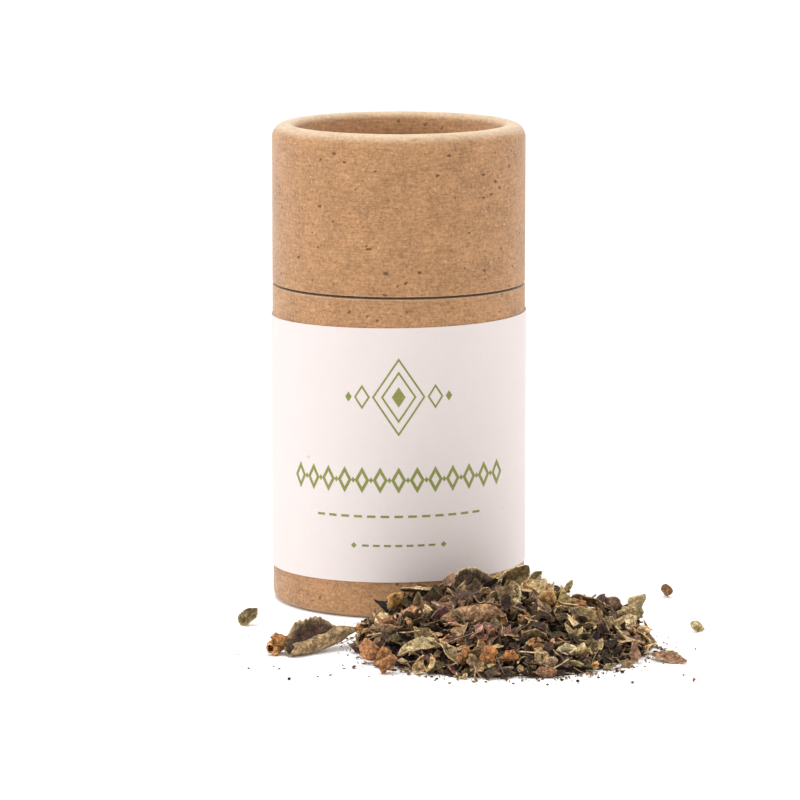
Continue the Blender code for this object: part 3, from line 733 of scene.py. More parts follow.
def whole_leaf(
    draw, length, width, curls, tints, arch, twist, teeth=6, thickness=0.22, wrinkle=0.25
):
    """A whole leaf with a midrib, side veins and a toothed edge.

    curls are the near and far halves' curvature in 1/mm, each at the midrib and at the edge.
    tints are the colours of the upper face, the under face and the edges.
    """
    rows, half = 30, 9
    columns = 2 * half + 1
    u = np.linspace(0, 1, rows + 1)
    shape = np.sin(math.pi * u**0.85) ** 0.72 * (1 - 0.12 * u)
    tooth = 1 + 0.05 * (1 - 2 * np.abs((u * teeth * 2) % 1 - 0.5) * 2)
    half_width = 0.5 * width * shape * tooth + 0.04
    waves = [(draw.normal(0, 0.9), draw.normal(0, 0.9), draw.uniform(0, 6.3)) for _ in range(4)]
    points = np.zeros((rows + 1, columns, 3))
    vein = np.zeros((rows + 1, columns))
    for i in range(rows + 1):
        along = length * (u[i] - 0.5)
        for sign, (root, edge) in ((-1, curls[0]), (1, curls[1])):
            y = z = angle = 0.0
            step = half_width[i] / half
            for k in range(1, half + 1):
                share = (k - 0.5) / half
                angle += (root + (edge - root) * share**1.5) * step
                y += math.cos(angle) * step
                z += math.sin(angle) * step
                ripple = sum(math.sin(a * along + b * y + c) for a, b, c in waves) * wrinkle * 0.5
                rib = math.sin((u[i] * length - 0.55 * k / half * half_width[i]) * 2.1)
                vein[i, half + sign * k] = max(0.0, rib) ** 3
                lift = z + ripple * share * min(1.0, half_width[i])
                points[i, half + sign * k] = (along, sign * y, lift + 0.10 * vein[i, half + sign * k])
        points[i, half] = (along, 0.0, -0.18)
    spin = twist * (u - 0.5)
    c, s = np.cos(spin)[:, None], np.sin(spin)[:, None]
    y, z = points[:, :, 1].copy(), points[:, :, 2].copy()
    points[:, :, 1] = y * c - z * s
    points[:, :, 2] = y * s + z * c + arch * points[:, :, 0] ** 2
    flat = crumpled(draw, points.reshape(-1, 3), 0.05 + 0.2 * wrinkle, 3.2)
    triangles = []
    for i in range(rows):
        for k in range(columns - 1):
            a = i * columns + k
            b = a + columns
            triangles += [(a, b, b + 1), (a, b + 1, a + 1)]
    bottom = list(range(0, rows * columns, columns))
    right = [rows * columns + k for k in range(columns - 1)]
    top = [i * columns + columns - 1 for i in range(rows, 0, -1)]
    left = list(range(columns - 1, 0, -1))
    away = np.abs(np.arange(columns) - half) / half
    edge = np.tile(away, rows + 1)[:, None] ** 9
    veins = vein.reshape(-1, 1)
    upper, under, pale = (np.asarray(t) for t in tints)
    mottle = 1 + 0.25 * np.sin(flat[:, :1] * 1.7 + flat[:, 1:2] * 2.3)
    upper_tint = upper * mottle * (1 - 0.25 * veins) * (1 - edge) + pale * edge
    under_tint = under * (1 + 0.25 * veins) * (1 - 0.5 * edge) + pale * 0.5 * edge
    return thick_sheet(flat, triangles, bottom + right + top + left, thickness, upper_tint, under_tint)


def capped_rings(rings, sectors):
    """Faces of a closed form: a tip, rings of points from there to the other tip, and that tip."""
    faces = []
    last_ring = 1 + (rings - 1) * sectors
    for i in range(sectors):
        j = (i + 1) % sectors
        faces.append((0, 1 + j, 1 + i))
        for ring in range(1, last_ring, sectors):
            a, b = ring + i, ring + j
            faces += [(a, b, b + sectors), (a, b + sectors, a + sectors)]
        faces.append((last_ring + i, last_ring + j, last_ring + sectors))
    return np.array(faces)


def seed_cup(draw, radius, tints, length=1.35):
    """A dried calyx: a ribbed cup with one broad upper lobe and a few narrow ones, hollow inside.

    length is in radii, and tints are the colours of its outside and its inside; the inside is given darker
    than the outside, as painted shade.
    """
    sectors = 22
    angles = np.arange(sectors) * 2 * math.pi / sectors
    lobes = 0.55 * np.maximum(0, np.cos(angles)) ** 2 + 0.3 * np.maximum(0, np.cos(3 * angles + 1.0)) ** 2
    ribs = 1 + 0.10 * np.cos(5 * angles + draw.uniform(0, 6.3))
    squash = 1 + 0.30 * np.cos(2 * angles + draw.uniform(0, 6.3))
    dents = [(draw.integers(1, 4), draw.uniform(0, 6.3), draw.uniform(1, 4)) for _ in range(3)]
    rings = []
    climb = np.linspace(0.06, 1, 8)
    descent = climb[:1:-1]
    for outside, shares in ((True, climb), (False, descent)):
        for share in shares:
            swell = 0.25 + 0.8 * math.sin(math.pi * min(1.0, share * 0.72)) ** 0.8
            flare = 1 - 0.3 * max(0.0, share - 0.7) * 3.3
            crumple = sum(np.sin(w * angles + p + f * share) for w, p, f in dents) * 0.13
            r = radius * swell * flare * ribs * squash * (1 + crumple * share)
            z = radius * length * (share - 0.45) + radius * lobes * share**3
            if not outside:
                r = np.maximum(0.05, r - 0.16)
                z = z - 0.02
            rings.append(np.stack([r * np.cos(angles), r * np.sin(angles), z], 1))
    base = [[0.0, 0.0, rings[0][:, 2].mean() - 0.12 * radius]]
    floor = [[0.0, 0.0, rings[-1][:, 2].mean()]]
    points = np.concatenate([base, *rings, floor])
    points = crumpled(draw, points, 0.12 * radius, 1.5 * radius)
    points = crumpled(draw, points, 0.05 * radius, 0.7 * radius)
    outer, inner = (np.asarray(t) for t in tints)
    # Lighter on the ribs and darker between them: painted highlight and painted shade.
    rib_light_groove_shade = (0.75 + 0.5 * (ribs - 0.9) / 0.2)[:, None]
    # Outside darker at the base and lighter towards the lip; inside painted shade, darker towards the
    # floor.
    tint = [[outer * 0.6]]
    tint += [outer * (0.65 + 0.6 * share) * rib_light_groove_shade for share in climb]
    tint += [inner * (0.4 + 0.5 * share) * rib_light_groove_shade for share in descent]
    tint += [[inner * 0.35]]
    return points, capped_rings(len(rings), sectors), np.concatenate(tint)


def stalk(draw, length, radius, tint, joints=5, sides=7):
    """A bit of dry stem, bent at its joints, its ends broken off."""
    steps = np.linspace(0, 1, joints + 1)
    bow = np.cumsum(draw.normal(0, 0.05 * length / joints * 2.2, (joints + 1, 2)), axis=0)
    centre = np.stack([length * (steps - 0.5), bow[:, 0], bow[:, 1]], 1)
    angles = np.arange(sides) * 2 * math.pi / sides
    rings = []
    for k, point in enumerate(centre):
        r = radius * (1 + 0.18 * draw.normal(0, 1)) * (0.85 + 0.3 * steps[k])
        ring = np.stack([0 * angles, r * np.cos(angles), 0.8 * r * np.sin(angles)], 1)
        if k in (0, joints):
            ring[:, 0] += draw.uniform(-0.7, 0.7, sides) * radius
        rings.append(ring + point)
    points = np.concatenate([centre[:1], *rings, centre[-1:]])
    # Alternate sides of the stem lighter and darker: painted light and shade of its ridges.
    rib_light_groove_shade = np.tile(0.85 + 0.3 * (np.arange(sides) % 2), joints + 1)
    tints = np.outer(np.concatenate([[1.0], rib_light_groove_shade, [1.0]]), tint)
    return points, capped_rings(joints + 1, sides), tints


def grit(draw, size, tint):
    """One crumb: a flattened lump of eight faces."""
    points = np.array([(1, 0, 0), (0, 1, 0), (-1, 0, 0), (0, -1, 0), (0, 0, 1), (0, 0, -1)], float)
    reach = draw.uniform(0.55, 1.2, (6, 1))
    points *= reach * np.array([1.0, draw.uniform(0.4, 0.9), draw.uniform(0.25, 0.6)])
    points += draw.uniform(-0.15, 0.15, (6, 3))
    upper = [(i, (i + 1) % 4, 4) for i in range(4)]
    lower = [((i + 1) % 4, i, 5) for i in range(4)]
    return points * size * 0.5, np.array(upper + lower), np.tile(tint, (6, 1))


def seed(draw, size):
    """A small dark nutlet, egg-shaped."""
    rings, sectors = 3, 8
    angles = np.arange(sectors) * 2 * math.pi / sectors
    points = [[(0.0, 0.0, -0.5)]]
    for polar in np.linspace(0, math.pi, rings + 2)[1:-1]:
        r = 0.34 * math.sin(polar)
        height = np.full(sectors, -0.5 * math.cos(polar))
        points.append(np.stack([r * np.cos(angles), r * np.sin(angles), height], 1))
    points = np.concatenate(points + [[(0.0, 0.0, 0.5)]])
    tint = jitter(draw, SOOT, 0.4)
    return points * size, capped_rings(rings, sectors), np.tile(tint, (len(points), 1))


# Laying the heap


def turn(heading, tilt, roll):
    """Rotation in degrees: roll about the bit's own X, tilt about its Y, then heading about Z."""
    h, t, r = (math.radians(a) for a in (heading, tilt, roll))
    about_z = np.array([[math.cos(h), -math.sin(h), 0], [math.sin(h), math.cos(h), 0], [0, 0, 1]])
    about_y = np.array([[math.cos(t), 0, math.sin(t)], [0, 1, 0], [-math.sin(t), 0, math.cos(t)]])
    about_x = np.array([[1, 0, 0], [0, math.cos(r), -math.sin(r)], [0, math.sin(r), math.cos(r)]])
    return about_z @ about_y @ about_x


def mound_height(x, y):
    """Height of the heap in the solids. It falls below the table a little outside the rim."""
    reach = np.hypot((x - HEAP_X) / HEAP_HALF_X, (y - HEAP_Y) / HEAP_HALF_Y)
    height = HEAP_RIM + (HEAP_PEAK - HEAP_RIM) * (1 - reach**HEAP_STEEPNESS)
    for sx, sy, radius, extra in HEAP_SWELLINGS:
        height = height + extra * np.exp(-(((x - sx) ** 2 + (y - sy) ** 2) / radius**2))
    return height


def lean_with(x, y, share):
    """Rotation that tips a flat bit by this share of the mound's slope at the point."""
    slope_x = float(mound_height(x + 1, y) - mound_height(x - 1, y)) / 2
    slope_y = float(mound_height(x, y + 1) - mound_height(x, y - 1)) / 2
    normal = Vector((-slope_x * share, -slope_y * share, 1.0)).normalized()
    return np.array(normal.to_track_quat("Z", "Y").to_matrix())


class Bits:
    """Collects many small solids that become one piece."""

    def __init__(self):
        self.points, self.faces, self.tints, self.count = [], [], [], 0

    def add(self, points, faces, tints):
        """One more solid. A tint that is too bright is dimmed as a whole, so that it keeps its hue."""
        self.points.append(points)
        self.faces.append(faces + self.count)
        over = np.maximum(1.0, tints.max(1, keepdims=True) / BRIGHTEST)
        self.tints.append(np.maximum(tints / over, DARKEST))
        self.count += len(points)

    def piece(self, name, material, slot, node=None, smooth=42.0):
        points = np.concatenate(self.points)
        faces = np.concatenate(self.faces)
        made = new_piece(name, points, faces.tolist(), material, smooth, np.concatenate(self.tints))
        if node:
            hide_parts(node)


class HeapMap:
    """The heap's height so far, over a square grid of the table."""

    def __init__(self):
        shape = (int(MAP_SIZE[0] / MAP_CELL), int(MAP_SIZE[1] / MAP_CELL))
        self.height = np.zeros(shape)
        x = MAP_LOW[0] + (np.arange(shape[0]) + 0.5) * MAP_CELL
        y = MAP_LOW[1] + (np.arange(shape[1]) + 0.5) * MAP_CELL
        self.x, self.y = np.meshgrid(x, y, indexing="ij")

    def cells(self, points):
        """The grid indices of the cells that the points are over."""
        i = ((points[:, 0] - MAP_LOW[0]) / MAP_CELL).astype(int).clip(0, self.height.shape[0] - 1)
        j = ((points[:, 1] - MAP_LOW[1]) / MAP_CELL).astype(int).clip(0, self.height.shape[1] - 1)
        return i, j

    def lay(self, points, sunk, thickest):
        """The points lowered on to the heap, which then covers them. sunk is the share let into it."""
        points = clear_of_tube(points)
        i, j = self.cells(points)
        gap = points[:, 2] - self.height[i, j]
        points = points - np.array([0.0, 0.0, np.quantile(gap, sunk)])
        points[:, 2] -= min(0.0, points[:, 2].min() - 0.02)
        top = np.minimum(points[:, 2], self.height[i, j] + thickest)
        np.maximum.at(self.height, (i, j), top)
        return points

    def drop(self, bits, solid, lean, x, y, sunk, thickest=1.6):
        """The solid, turned by lean, laid on the heap at (x, y) and added to bits."""
        shape, faces, tints = solid
        points = shape @ lean.T + np.array([x, y, DROP_HEIGHT])
        bits.add(self.lay(points, sunk, thickest), faces, tints)


def clear_of_tube(points):
    """The same points, pushed away from the tube as one until none is in it."""
    away = np.hypot(points[:, 0], points[:, 1])
    nearest = away.argmin()
    gap = TUBE_RADIUS + TUBE_SPACE - away[nearest]
    if gap <= 0:
        return points
    push = points[nearest] * np.array([1, 1, 0]) / away[nearest] * gap
    return points + push


def make_crumb_shade_bed(draw, heap):
    """Packed crumb under the leaves, near-black as painted shade in the gaps between the bits, its surface
    broken up.
    """
    rings, sectors = 46, 150
    points = []
    for i in range(sectors):
        angle = 2 * math.pi * i / sectors
        dx, dy = math.cos(angle), math.sin(angle)
        ragged = 0.9 + 0.03 * math.sin(9 * angle) + 0.025 * math.sin(23 * angle + 1.0)
        edge = ragged / math.hypot(dx / HEAP_HALF_X, dy / HEAP_HALF_Y)
        inward = HEAP_X * dx + HEAP_Y * dy
        room = inward**2 - (HEAP_X**2 + HEAP_Y**2 - (TUBE_RADIUS + BED_SPACE) ** 2)
        if room > 0 and inward < 0:
            edge = min(edge, -inward - math.sqrt(room))
        for ring in range(1, rings + 1):
            reach = edge * ring / rings
            points.append((HEAP_X + dx * reach, HEAP_Y + dy * reach))
    flat = np.array([(HEAP_X, HEAP_Y)] + points)
    bed = np.maximum(0.25, mound_height(flat[:, 0], flat[:, 1]) - CRUMB_SHADE_BED)
    bed += draw.normal(0, 0.28, len(bed)) * np.minimum(1, bed / 2)
    top = np.column_stack([flat, np.maximum(0.12, bed)])
    rim = rings * np.arange(1, sectors + 1)
    base = top[rim] * np.array([1, 1, 0]) + np.array([0, 0, TABLE_GAP])
    centre = np.array([[HEAP_X, HEAP_Y, TABLE_GAP]])
    count = len(top)
    faces = []
    for i in range(sectors):
        j = (i + 1) % sectors
        faces.append((0, 1 + i * rings, 1 + j * rings))
        for ring in range(rings - 1):
            a, b = 1 + i * rings + ring, 1 + j * rings + ring
            faces += [(a, a + 1, b + 1), (a, b + 1, b)]
        faces += [(rim[i], count + i, count + j), (rim[i], count + j, rim[j])]
        faces.append((count + sectors, count + j, count + i))
    # Umber to soot: painted shade that shows through the gaps of the heap.
    tints = np.array([between(UMBER, SOOT, draw.uniform(0, 1)) for _ in range(count + sectors + 1)])
    bits = Bits()
    bits.add(np.concatenate([top, base, centre]), np.array(faces), tints)
    bits.piece("herb_crumb_shade_bed", CRUMB, "dried_leaf", "herb_heap", smooth=70.0)
    height = mound_height(heap.x, heap.y) - CRUMB_SHADE_BED
    inside = np.hypot((heap.x - HEAP_X) / HEAP_HALF_X, (heap.y - HEAP_Y) / HEAP_HALF_Y) < 1
    heap.height = np.where(inside, np.maximum(0.2, height), 0.0)


# What a torn leaf is mixed from: a row is taken where a draw from 0 to 1 falls under its first number.
# It has two colours, the least and most of the second, and how far its light varies. What is left over
# is straw.
LEAF_MIX = (
    (0.30, UMBER, SOOT, (0.0, 0.6), 0.4),
    (0.52, OLIVE, BROWN, (0.0, 1.0), 0.35),
    (0.66, PLUM, BROWN, (0.0, 1.0), 0.35),
    (0.90, KHAKI, OLIVE, (0.0, 0.8), 0.25),
    (0.95, BROWN, RUST, (0.2, 0.8), 0.3),
)


def leaf_tints(draw, light):
    """Upper and under face of one leaf bit, from nearly black through olive and brown to pale khaki."""
    pick = draw.random()
    for below, first, second, shares, swing in LEAF_MIX:
        if pick < below:
            top = jitter(draw, between(first, second, draw.uniform(*shares)), swing)
            break
    else:
        top = jitter(draw, STRAW, 0.2)
    # light scales both faces: painted shade for bits laid deep, painted light for bits on top.
    return top * light, between(top, KHAKI, draw.uniform(0.0, 0.6)) * light


def coarseness(x, y):
    """How big the bits are at a point: big at the back and the left, fine at the front and middle."""
    back = np.clip((y + 95.0) / 45.0, 0, 1)
    left = np.clip((12.0 - x) / 20.0, 0, 1)
    return float(max(back, 0.8 * left))


def on_footprint(reach, angle):
    """A point of the table at this share of the way from the heap's middle to its rim."""
    x = HEAP_X + HEAP_HALF_X * reach * math.cos(angle)
    y = HEAP_Y + HEAP_HALF_Y * reach * math.sin(angle)
    return x, y


def random_spot(draw, spread):
    """A point at random on the footprint, grown by this spread."""
    return on_footprint(math.sqrt(draw.random()) * spread, draw.uniform(0, 2 * math.pi))


def lacking_places(draw, heap, amount, rise):
    """For each of this many bits, the place that lacks most height of a few tried at random.

    rise is how far above the mound the heap should come.
    """
    for _ in range(amount):
        best, place = -math.inf, None
        for _ in range(PLACES_TRIED):
            x, y = random_spot(draw, 1.02)
            if math.hypot(x, y) < TUBE_RADIUS + BIT_SPACE:
                continue
            i, j = heap.cells(np.array([[x, y]]))
            lack = mound_height(x, y) + rise - heap.height[i[0], j[0]] + draw.uniform(0, 0.8)
            if lack > best:
                best, place = lack, (x, y)
        if place:
            yield place


def lay_under_layer(draw, heap, crumb):
    """Small shards first, over the whole bed, darkened as painted shade deep in the heap."""
    for x, y in lacking_places(draw, heap, UNDER_SHARDS, -1.3):
        length = draw.uniform(1.4, 3.4)
        tints = leaf_tints(draw, draw.uniform(0.15, 0.5))
        shard = leaf_scrap(draw, length, tints, 4, 2, 1, 0.14, 0.25)
        lean = lean_with(x, y, 0.8) @ turn(draw.uniform(0, 360), draw.normal(0, 26), 0)
        heap.drop(crumb, shard, lean, x, y, 0.2, 0.7)


def lay_leaf_bits(draw, heap, leaves, amount, light):
    """Torn leaf, standing at all angles: big and curled at the back and the left, small at the front."""
    for x, y in lacking_places(draw, heap, amount, 0.4):
        length = draw.uniform(2.0, 5.4) + coarseness(x, y) * draw.uniform(0.0, 5.0)
        tints = leaf_tints(draw, draw.uniform(*light))
        detail = (5, 3) if length > 4.5 else (3, 2)
        scrap = leaf_scrap(draw, length, tints, draw.integers(4, 7), *detail, 0.17, 0.34)
        steep = 26 + 22 * draw.random()
        lean = turn(draw.uniform(0, 360), draw.normal(0, steep), draw.normal(0, 22))
        heap.drop(leaves, scrap, lean_with(x, y, 0.8) @ lean, x, y, 0.2, 1.2)


def lay_cups(draw, heap, cups):
    """Seed cups lying and leaning at random, from brown to amber."""
    for _ in range(HEAP_CUPS):
        x, y = random_spot(draw, 0.98)
        if math.hypot(x, y) < TUBE_RADIUS + CUP_SPACE:
            continue
        warm = between(RUST, AMBER, draw.random())
        outer = jitter(draw, between(BROWN, warm, draw.uniform(0.2, 1)), 0.25)
        # The inside is the outside darkened as painted shade.
        cup = seed_cup(draw, draw.uniform(0.8, 1.7), (outer, outer * 0.6))
        heap.drop(cups, cup, turn(draw.uniform(0, 360), draw.uniform(30, 110), 0), x, y, 0.16)


def lay_stalks(draw, heap, stalks):
    """Thin bits of stem, lying along the slope."""
    for x, y in lacking_places(draw, heap, LAYER_STALKS, 1.5):
        tint = jitter(draw, between(STRAW, BROWN, draw.uniform(0, 1)), 0.25)
        length = draw.uniform(1.6, 7.0)
        bit = stalk(draw, length, 0.07 + 0.24 * draw.random() ** 3, tint, 5, 5)
        lean = lean_with(x, y, 0.9) @ turn(draw.uniform(0, 360), draw.normal(0, 20), 0)
        heap.drop(stalks, bit, lean, x, y, 0.12, 0.8)


def lay_grit(draw, heap, crumb, amount):
    """Crumbs caught among the leaves, and more of them towards the front."""
    for _ in range(amount):
        x, y = random_spot(draw, 1.04)
        if math.hypot(x, y) < TUBE_RADIUS + BIT_SPACE or draw.random() < 0.6 * coarseness(x, y):
            continue
        colour = (OLIVE, BROWN, KHAKI, UMBER, RUST, STRAW)[draw.integers(0, 6)]
        lump = grit(draw, draw.uniform(0.4, 1.3), jitter(draw, colour, 0.5) * 0.8)
        lean = turn(draw.uniform(0, 360), draw.normal(0, 30), draw.normal(0, 30))
        heap.drop(crumb, lump, lean, x, y, 0.3, 0.6)


# The bits that the photograph shows one by one on the heap: their middle (x, y, and z where the heap
# doesn't settle it), heading, tilt and roll in degrees, and sizes in millimetres.
SHOWN_LEAVES = (
    # middle, angles, length, width, near and far curls, arch, twist, tints
    ((17.3, -47.5, 12.4), (4, -8, 58), 9.5, 9, (0.2, 0.6, 0.12, 0.5), 0.02, 0.5, (UMBER, KHAKI, STRAW)),
    ((26.2, -47.5, 12), (14, -48, 66), 11, 8, (0.35, 0.7, 0.2, 0.4), 0.02, 1, (OLIVE, KHAKI, STRAW)),
    ((30.8, -46.5, 12.2), (-20, -50, 40), 7, 4, (0.1, 0.4, 0.1, 0.4), 0, 0.6, (OLIVE, KHAKI, STRAW)),
    ((5.5, -46, 14), (8, 4, -16), 10.5, 6.5, (-0.1, -0.4, -0.1, -0.3), -0.02, 0.3, (KHAKI, OLIVE, STRAW)),
    ((16.5, -74, 9), (176, 6, 74), 15, 8, (0.4, 0.8, 0.35, 0.6), 0.006, 0.5, (UMBER, CIGAR, RUST)),
    ((5.5, -84, 5.4), (12, -12, 20), 12, 5, (0.1, 0.4, 0.2, 0.5), -0.02, 0.5, (KHAKI, KHAKI, STRAW)),
    ((11, -88, 4.6), (-62, 18, -14), 11, 4.2, (0.2, 0.5, 0.2, 0.5), -0.02, 0.5, (OLIVE, KHAKI, KHAKI)),
    ((31.5, -52, 12), (-75, 18, 20), 10, 6.5, (0.1, 0.3, 0.05, 0.3), 0.01, 0.5, (KHAKI, KHAKI, STRAW)),
    ((35.5, -47, 12.9), (150, 10, 24), 9, 3.8, (-0.2, -0.6, -0.2, -0.5), -0.04, 0.4, (UMBER, BROWN, OLIVE)),
    ((44, -52, 9.8), (20, 22, -18), 9.5, 7, (0.02, 0.1, 0.02, 0.12), 0.004, 0.2, (OLIVE, OLIVE, KHAKI)),
    ((52.5, -71, 3.4), (65, 10, 8), 11, 6.5, (0.05, 0.3, 0.1, 0.3), -0.01, 0.4, (KHAKI, KHAKI, STRAW)),
    ((56.4, -61, 3.2), (30, 34, 20), 6.5, 5.5, (0.1, 0.5, 0.1, 0.5), 0.02, 0.4, (BROWN, KHAKI, KHAKI)),
    ((42, -66, 8), (-30, 20, 16), 8, 6, (0.05, 0.3, 0.1, 0.3), 0.01, 0.3, (OLIVE, BROWN, KHAKI)),
    ((31, -82, 6.4), (40, 24, -20), 8, 5, (0.1, 0.4, 0.1, 0.4), 0.01, 0.5, (BROWN, OLIVE, KHAKI)),
)
SHOWN_CUPS = (
    # middle, angles, radius, colour
    ((-1.0, -51.0), (60, 50, 0), 2.4, AMBER),
    ((49.0, -49.5), (60, 62, 0), 2.2, BROWN),
    ((34.5, -59.0), (120, 50, 0), 2.1, AMBER),
    ((26.0, -62.0), (0, 12, 0), 1.6, KHAKI),
    ((54.0, -52.0), (140, 54, 0), 2.9, KHAKI),
    ((-6.0, -80.0), (150, 96, 0), 2.2, AMBER),
    ((-3.6, -85.0), (60, 70, 0), 2.0, RUST),
    ((-2.4, -91.0), (110, 100, 0), 1.9, RUST),
    ((14.5, -91.5), (100, 84, 0), 1.6, RUST),
    ((19.5, -92.5), (20, 100, 0), 1.9, RUST),
    ((24.5, -92.5), (70, 80, 0), 1.5, RUST),
)
SHOWN_STALKS = (
    # middle, angles, length, radius, colour
    ((7.5, -57.0), (4, 2, 0), 9.5, 0.32, STRAW),
    ((29.0, -90.0), (-28, -6, 0), 7.0, 0.22, STRAW),
    ((41.0, -60.0), (-38, 8, 0), 9.0, 0.25, STRAW),
    ((22.0, -72.0), (60, 0, 0), 8.0, 0.3, BROWN),
)


def lay_shown_bits(draw, heap, leaves, cups, stalks):
    """The bits of the three tables above. A leaf keeps its height where the heap comes up to it."""
    for at, angles, length, width, curls, arch, twist, colours in SHOWN_LEAVES:
        tints = [jitter(draw, colour, 0.1) for colour in colours]
        halves = (curls[:2], curls[2:])
        shape, faces, tints = whole_leaf(draw, length, width, halves, tints, arch, twist)
        points = clear_of_tube(shape @ turn(*angles).T + np.array(at))
        i, j = heap.cells(points)
        gap = points[:, 2] - heap.height[i, j]
        points[:, 2] -= max(0.0, np.quantile(gap, 0.1))
        np.maximum.at(heap.height, (i, j), np.minimum(points[:, 2], heap.height[i, j] + 1.5))
        leaves.add(points, faces, tints)
    for (x, y), angles, radius, colour in SHOWN_CUPS:
        outer = jitter(draw, colour, 0.1)
        # The inside is the outside darkened as painted shade.
        cup = seed_cup(draw, radius, (outer, outer * 0.7))
        heap.drop(cups, cup, turn(*angles), x, y, 0.1, 3.0)
    for (x, y), angles, length, radius, colour in SHOWN_STALKS:
        bit = stalk(draw, length, radius, jitter(draw, colour, 0.1))
        heap.drop(stalks, bit, lean_with(x, y, 0.7) @ turn(*angles), x, y, 0.08, 0.8)


# The nutlets and the bigger crumbs that the photograph shows on the table
SHOWN_NUTLETS = ((36.0, -98.5), (39.5, -99.8), (49.8, -90.0), (48.6, -89.2), (-24.2, -97.5))
SHOWN_SPECKS = (
    # x, y, size, colour
    (-26.6, -86.0, 0.9, UMBER),
    (-27.9, -83.4, 1.2, RUST),
    (-33.5, -85.5, 1.1, UMBER),
    (-18.0, -94.5, 1.0, OLIVE),
    (-15.2, -93.2, 1.1, UMBER),
    (-12.6, -92.8, 0.7, KHAKI),
    (-10.0, -85.5, 2.2, BROWN),
    (-12.2, -85.4, 1.4, BROWN),
    (-6.6, -94.0, 0.8, UMBER),
    (2.8, -88.9, 1.9, OLIVE),
    (9.8, -91.0, 1.8, UMBER),
    (12.4, -94.6, 1.2, KHAKI),
    (8.0, -98.5, 1.1, OLIVE),
    (11.2, -101.5, 1.2, OLIVE),
    (18.4, -94.8, 0.9, OLIVE),
    (23.4, -95.2, 0.8, BROWN),
    (29.0, -95.4, 0.9, KHAKI),
    (32.6, -94.0, 0.8, KHAKI),
    (51.6, -101.0, 1.5, OLIVE),
    (63.2, -93.0, 1.1, UMBER),
    (65.2, -99.5, 1.9, RUST),
)


def seat(bits, solid, angles, x, y):
    """The solid, turned and set on the table with its middle over (x, y), added to bits."""
    shape, faces, tints = solid
    points = shape @ turn(*angles).T + np.array([x, y, 0.0])
    points[:, 2] -= points[:, 2].min() - TABLE_GAP
    bits.add(points, faces, tints)


def spill(draw, crumb, x, y, size, tint):
    """One crumb on the table."""
    seat(crumb, grit(draw, size, tint), (draw.uniform(0, 360), 0, 0), x, y)


def lay_spilt(draw, crumb, nutlets):
    """Dust, crumbs and nutlets scattered on the table round the heap, thinning outwards."""
    for _ in range(SPILT_GRIT):
        reach = 0.93 + abs(draw.normal(0, 0.11))
        x, y = on_footprint(reach, draw.uniform(-math.pi, math.pi))
        by_tube = math.hypot(x, y) < TUBE_RADIUS + SPILT_SPACE
        if by_tube or not TABLE_X[0] < x < TABLE_X[1] or y < TABLE_FRONT:
            continue
        size = (0.2 + 1.5 * draw.random() ** 3) * (1.1 - 0.6 * min(1, abs(reach - 1) * 4))
        colour = (OLIVE, BROWN, KHAKI, UMBER, RUST, PLUM)[draw.integers(0, 6)]
        spill(draw, crumb, x, y, size, jitter(draw, colour, 0.35) * 0.8)
    for _ in range(FAR_DUST):
        x, y = draw.uniform(*FAR_DUST_X), draw.uniform(*FAR_DUST_Y)
        size = 0.15 + 0.4 * draw.random() ** 2
        spill(draw, crumb, x, y, size, jitter(draw, UMBER, 0.4) * 1.6)
    for x, y, size, colour in SHOWN_SPECKS:
        spill(draw, crumb, x, y, size, jitter(draw, colour, 0.3))
    for x, y in SHOWN_NUTLETS:
        nutlet = seed(draw, draw.uniform(0.75, 1.05))
        seat(nutlets, nutlet, (draw.uniform(0, 360), 90, 0), x, y)


def make_heap():
    """The heap from its bed up, in layers, and what is spilt round it."""
    draw = np.random.default_rng(HERB_SEED)
    heap = HeapMap()
    leaves, crumb, cups, stalks, whole, nutlets = (Bits() for _ in range(6))
    make_crumb_shade_bed(draw, heap)
    lay_under_layer(draw, heap, crumb)
    lay_leaf_bits(draw, heap, leaves, LOWER_LEAVES, LOWER_PAINTED_SHADE)
    lay_cups(draw, heap, cups)
    lay_stalks(draw, heap, stalks)
    lay_grit(draw, heap, crumb, LOWER_GRIT)
    lay_leaf_bits(draw, heap, leaves, UPPER_LEAVES, UPPER_PAINTED_LIGHT)
    lay_shown_bits(draw, heap, whole, cups, stalks)
    lay_stalks(draw, heap, stalks)
    lay_grit(draw, heap, crumb, UPPER_GRIT)
    lay_spilt(draw, crumb, nutlets)
    leaves.piece("herb_leaf_bits", LEAF, "dried_leaf")
    whole.piece("herb_whole_leaves", LEAF, "dried_leaf", smooth=60.0)
    crumb.piece("herb_crumb", CRUMB, "dried_leaf")
    cups.piece("herb_seed_cups", CALYX, "dried_calyx", smooth=60.0)
    stalks.piece("herb_stalks", STEM, "dried_leaf", smooth=50.0)
    nutlets.piece("herb_nutlets", CRUMB, "dried_leaf", smooth=60.0)


# The bits that lie beside the heap

FOLDED, TIGHT, OPEN = (0.4, 0.8), (0.1, 0.4), (0.1, 0.2)
LYING_LEAVES = (
    # piece, node, x, y, angles, length, width, near and far curl, colour
    ("leaf_scrap_left", "leaf_bit_left", -34.9, -36.5, (28, -40, 50), 5.6, 4.4, (FOLDED, TIGHT), OLIVE),
    ("leaf_flake", "leaf_flake_right", 60.8, -77.4, (-40, 3, 12), 10.5, 5.0, (OPEN, TIGHT), CIGAR),
    ("leaf_scrap_right", "leaf_bit_right", 69.0, -44.0, (20, 26, 50), 3.6, 3.0, (TIGHT, TIGHT), KHAKI),
)


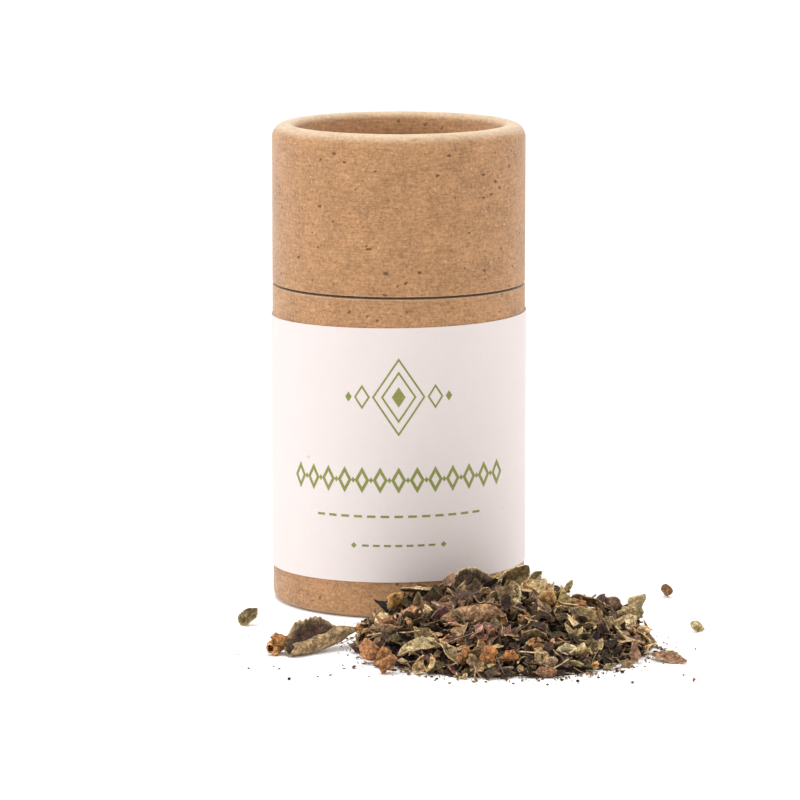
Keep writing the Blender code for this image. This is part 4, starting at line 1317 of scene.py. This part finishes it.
def make_lying_bits():
    """The big curled leaf, its pair of seed cups, three smaller bits of leaf and a cup behind."""
    draw = np.random.default_rng(LYING_SEED)
    bits = Bits()
    curls = ((0.62, 0.95), (0.21, 0.12))
    tints = (between(UMBER, PLUM, 0.3), between(KHAKI, BROWN, 0.5), np.array(KHAKI))
    leaf = whole_leaf(draw, 20.5, 18.0, curls, tints, 0.016, 0.3, teeth=8, thickness=0.3, wrinkle=0.6)
    seat(bits, leaf, (42, -10, 4), -16.9, -66.6)
    bits.piece("leaf_curled", LEAF, "dried_leaf", "leaf_curled_left", smooth=60.0)

    bits = Bits()
    for x, y, radius, angles in ((-26.6, -69.3, 2.1, (150, 70, 0)), (-28.3, -70.4, 1.4, (230, 80, 0))):
        outer = jitter(draw, between(RUST, AMBER, 0.6), 0.1)
        # The inside is the outside darkened as painted shade.
        seat(bits, seed_cup(draw, radius, (outer, outer * 0.8)), angles, x, y)
    bits.piece("calyx_pair", CALYX, "dried_calyx", "calyx_left", smooth=60.0)

    for name, node, x, y, angles, length, width, curls, colour in LYING_LEAVES:
        bits = Bits()
        tints = (jitter(draw, colour, 0.1), between(colour, KHAKI, 0.4), np.array(KHAKI))
        seat(bits, whole_leaf(draw, length, width, curls, tints, 0.01, 0.3, teeth=4), angles, x, y)
        bits.piece(name, LEAF, "dried_leaf", node, smooth=60.0)

    bits = Bits()
    outer = jitter(draw, between(RUST, BROWN, 0.5), 0.1)
    # The inside is the outside darkened as painted shade.
    seat(bits, seed_cup(draw, 1.2, (outer, outer * 0.7), 1.9), (20, 160, 0), 64.0, -3.0)
    bits.piece("calyx_behind", CALYX, "dried_calyx", "calyx_bit_behind", smooth=60.0)


# Floor, light and camera


def make_floor():
    """A wide white table top."""
    mesh = bpy.data.meshes.new("floor")
    corners = [(x * FLOOR_HALF, y * FLOOR_HALF, 0) for x, y in ((-1, -1), (1, -1), (1, 1), (-1, 1))]
    mesh.from_pydata(corners, [], [(0, 1, 2, 3)])
    floor = bpy.data.objects.new("floor", mesh)
    bpy.context.scene.collection.objects.link(floor)
    material, _, shader = new_material("pale_floor", 0.9)
    shader.inputs["Base Color"].default_value = (FLOOR_WHITE, FLOOR_WHITE, FLOOR_WHITE, 1.0)
    mesh.materials.append(material)


def light_scene():
    """A white room, and square soft lights that face the tube."""
    world = bpy.data.worlds.new("white_room")
    world.use_nodes = True
    back = world.node_tree.nodes["Background"]
    back.inputs["Color"].default_value = (1.0, 1.0, 1.0, 1.0)
    back.inputs["Strength"].default_value = ROOM_LIGHT
    bpy.context.scene.world = world
    for name, at, side, power in LIGHTS:
        light = bpy.data.lights.new(name, "AREA")
        light.size = side
        light.energy = power
        lamp = bpy.data.objects.new(name, light)
        lamp.location = Vector((AXIS_X, AXIS_Y, LIGHTS_AIM_UP)) + Vector(at)
        lamp.rotation_euler = (-Vector(at)).to_track_quat("-Z", "Y").to_euler()
        bpy.context.scene.collection.objects.link(lamp)


def make_camera():
    """The photograph's own view."""
    camera = bpy.data.cameras.new("camera")
    camera.sensor_width = 36.0
    camera.lens = CAMERA_LENS
    camera.clip_start = 0.05
    camera.clip_end = 30.0
    holder = bpy.data.objects.new("camera", camera)
    holder.location = (AXIS_X + CAMERA_SIDE * MM, AXIS_Y - CAMERA_BACK * MM, CAMERA_HEIGHT * MM)
    holder.rotation_euler = (math.pi / 2 - CAMERA_DOWN, 0.0, 0.0)
    bpy.context.scene.collection.objects.link(holder)
    bpy.context.scene.camera = holder


make_camera()
make_tube()
make_label_sheet()
make_label_print()
make_heap()
make_lying_bits()
make_floor()
light_scene()
bpy.context.scene.view_settings.view_transform = "Standard"
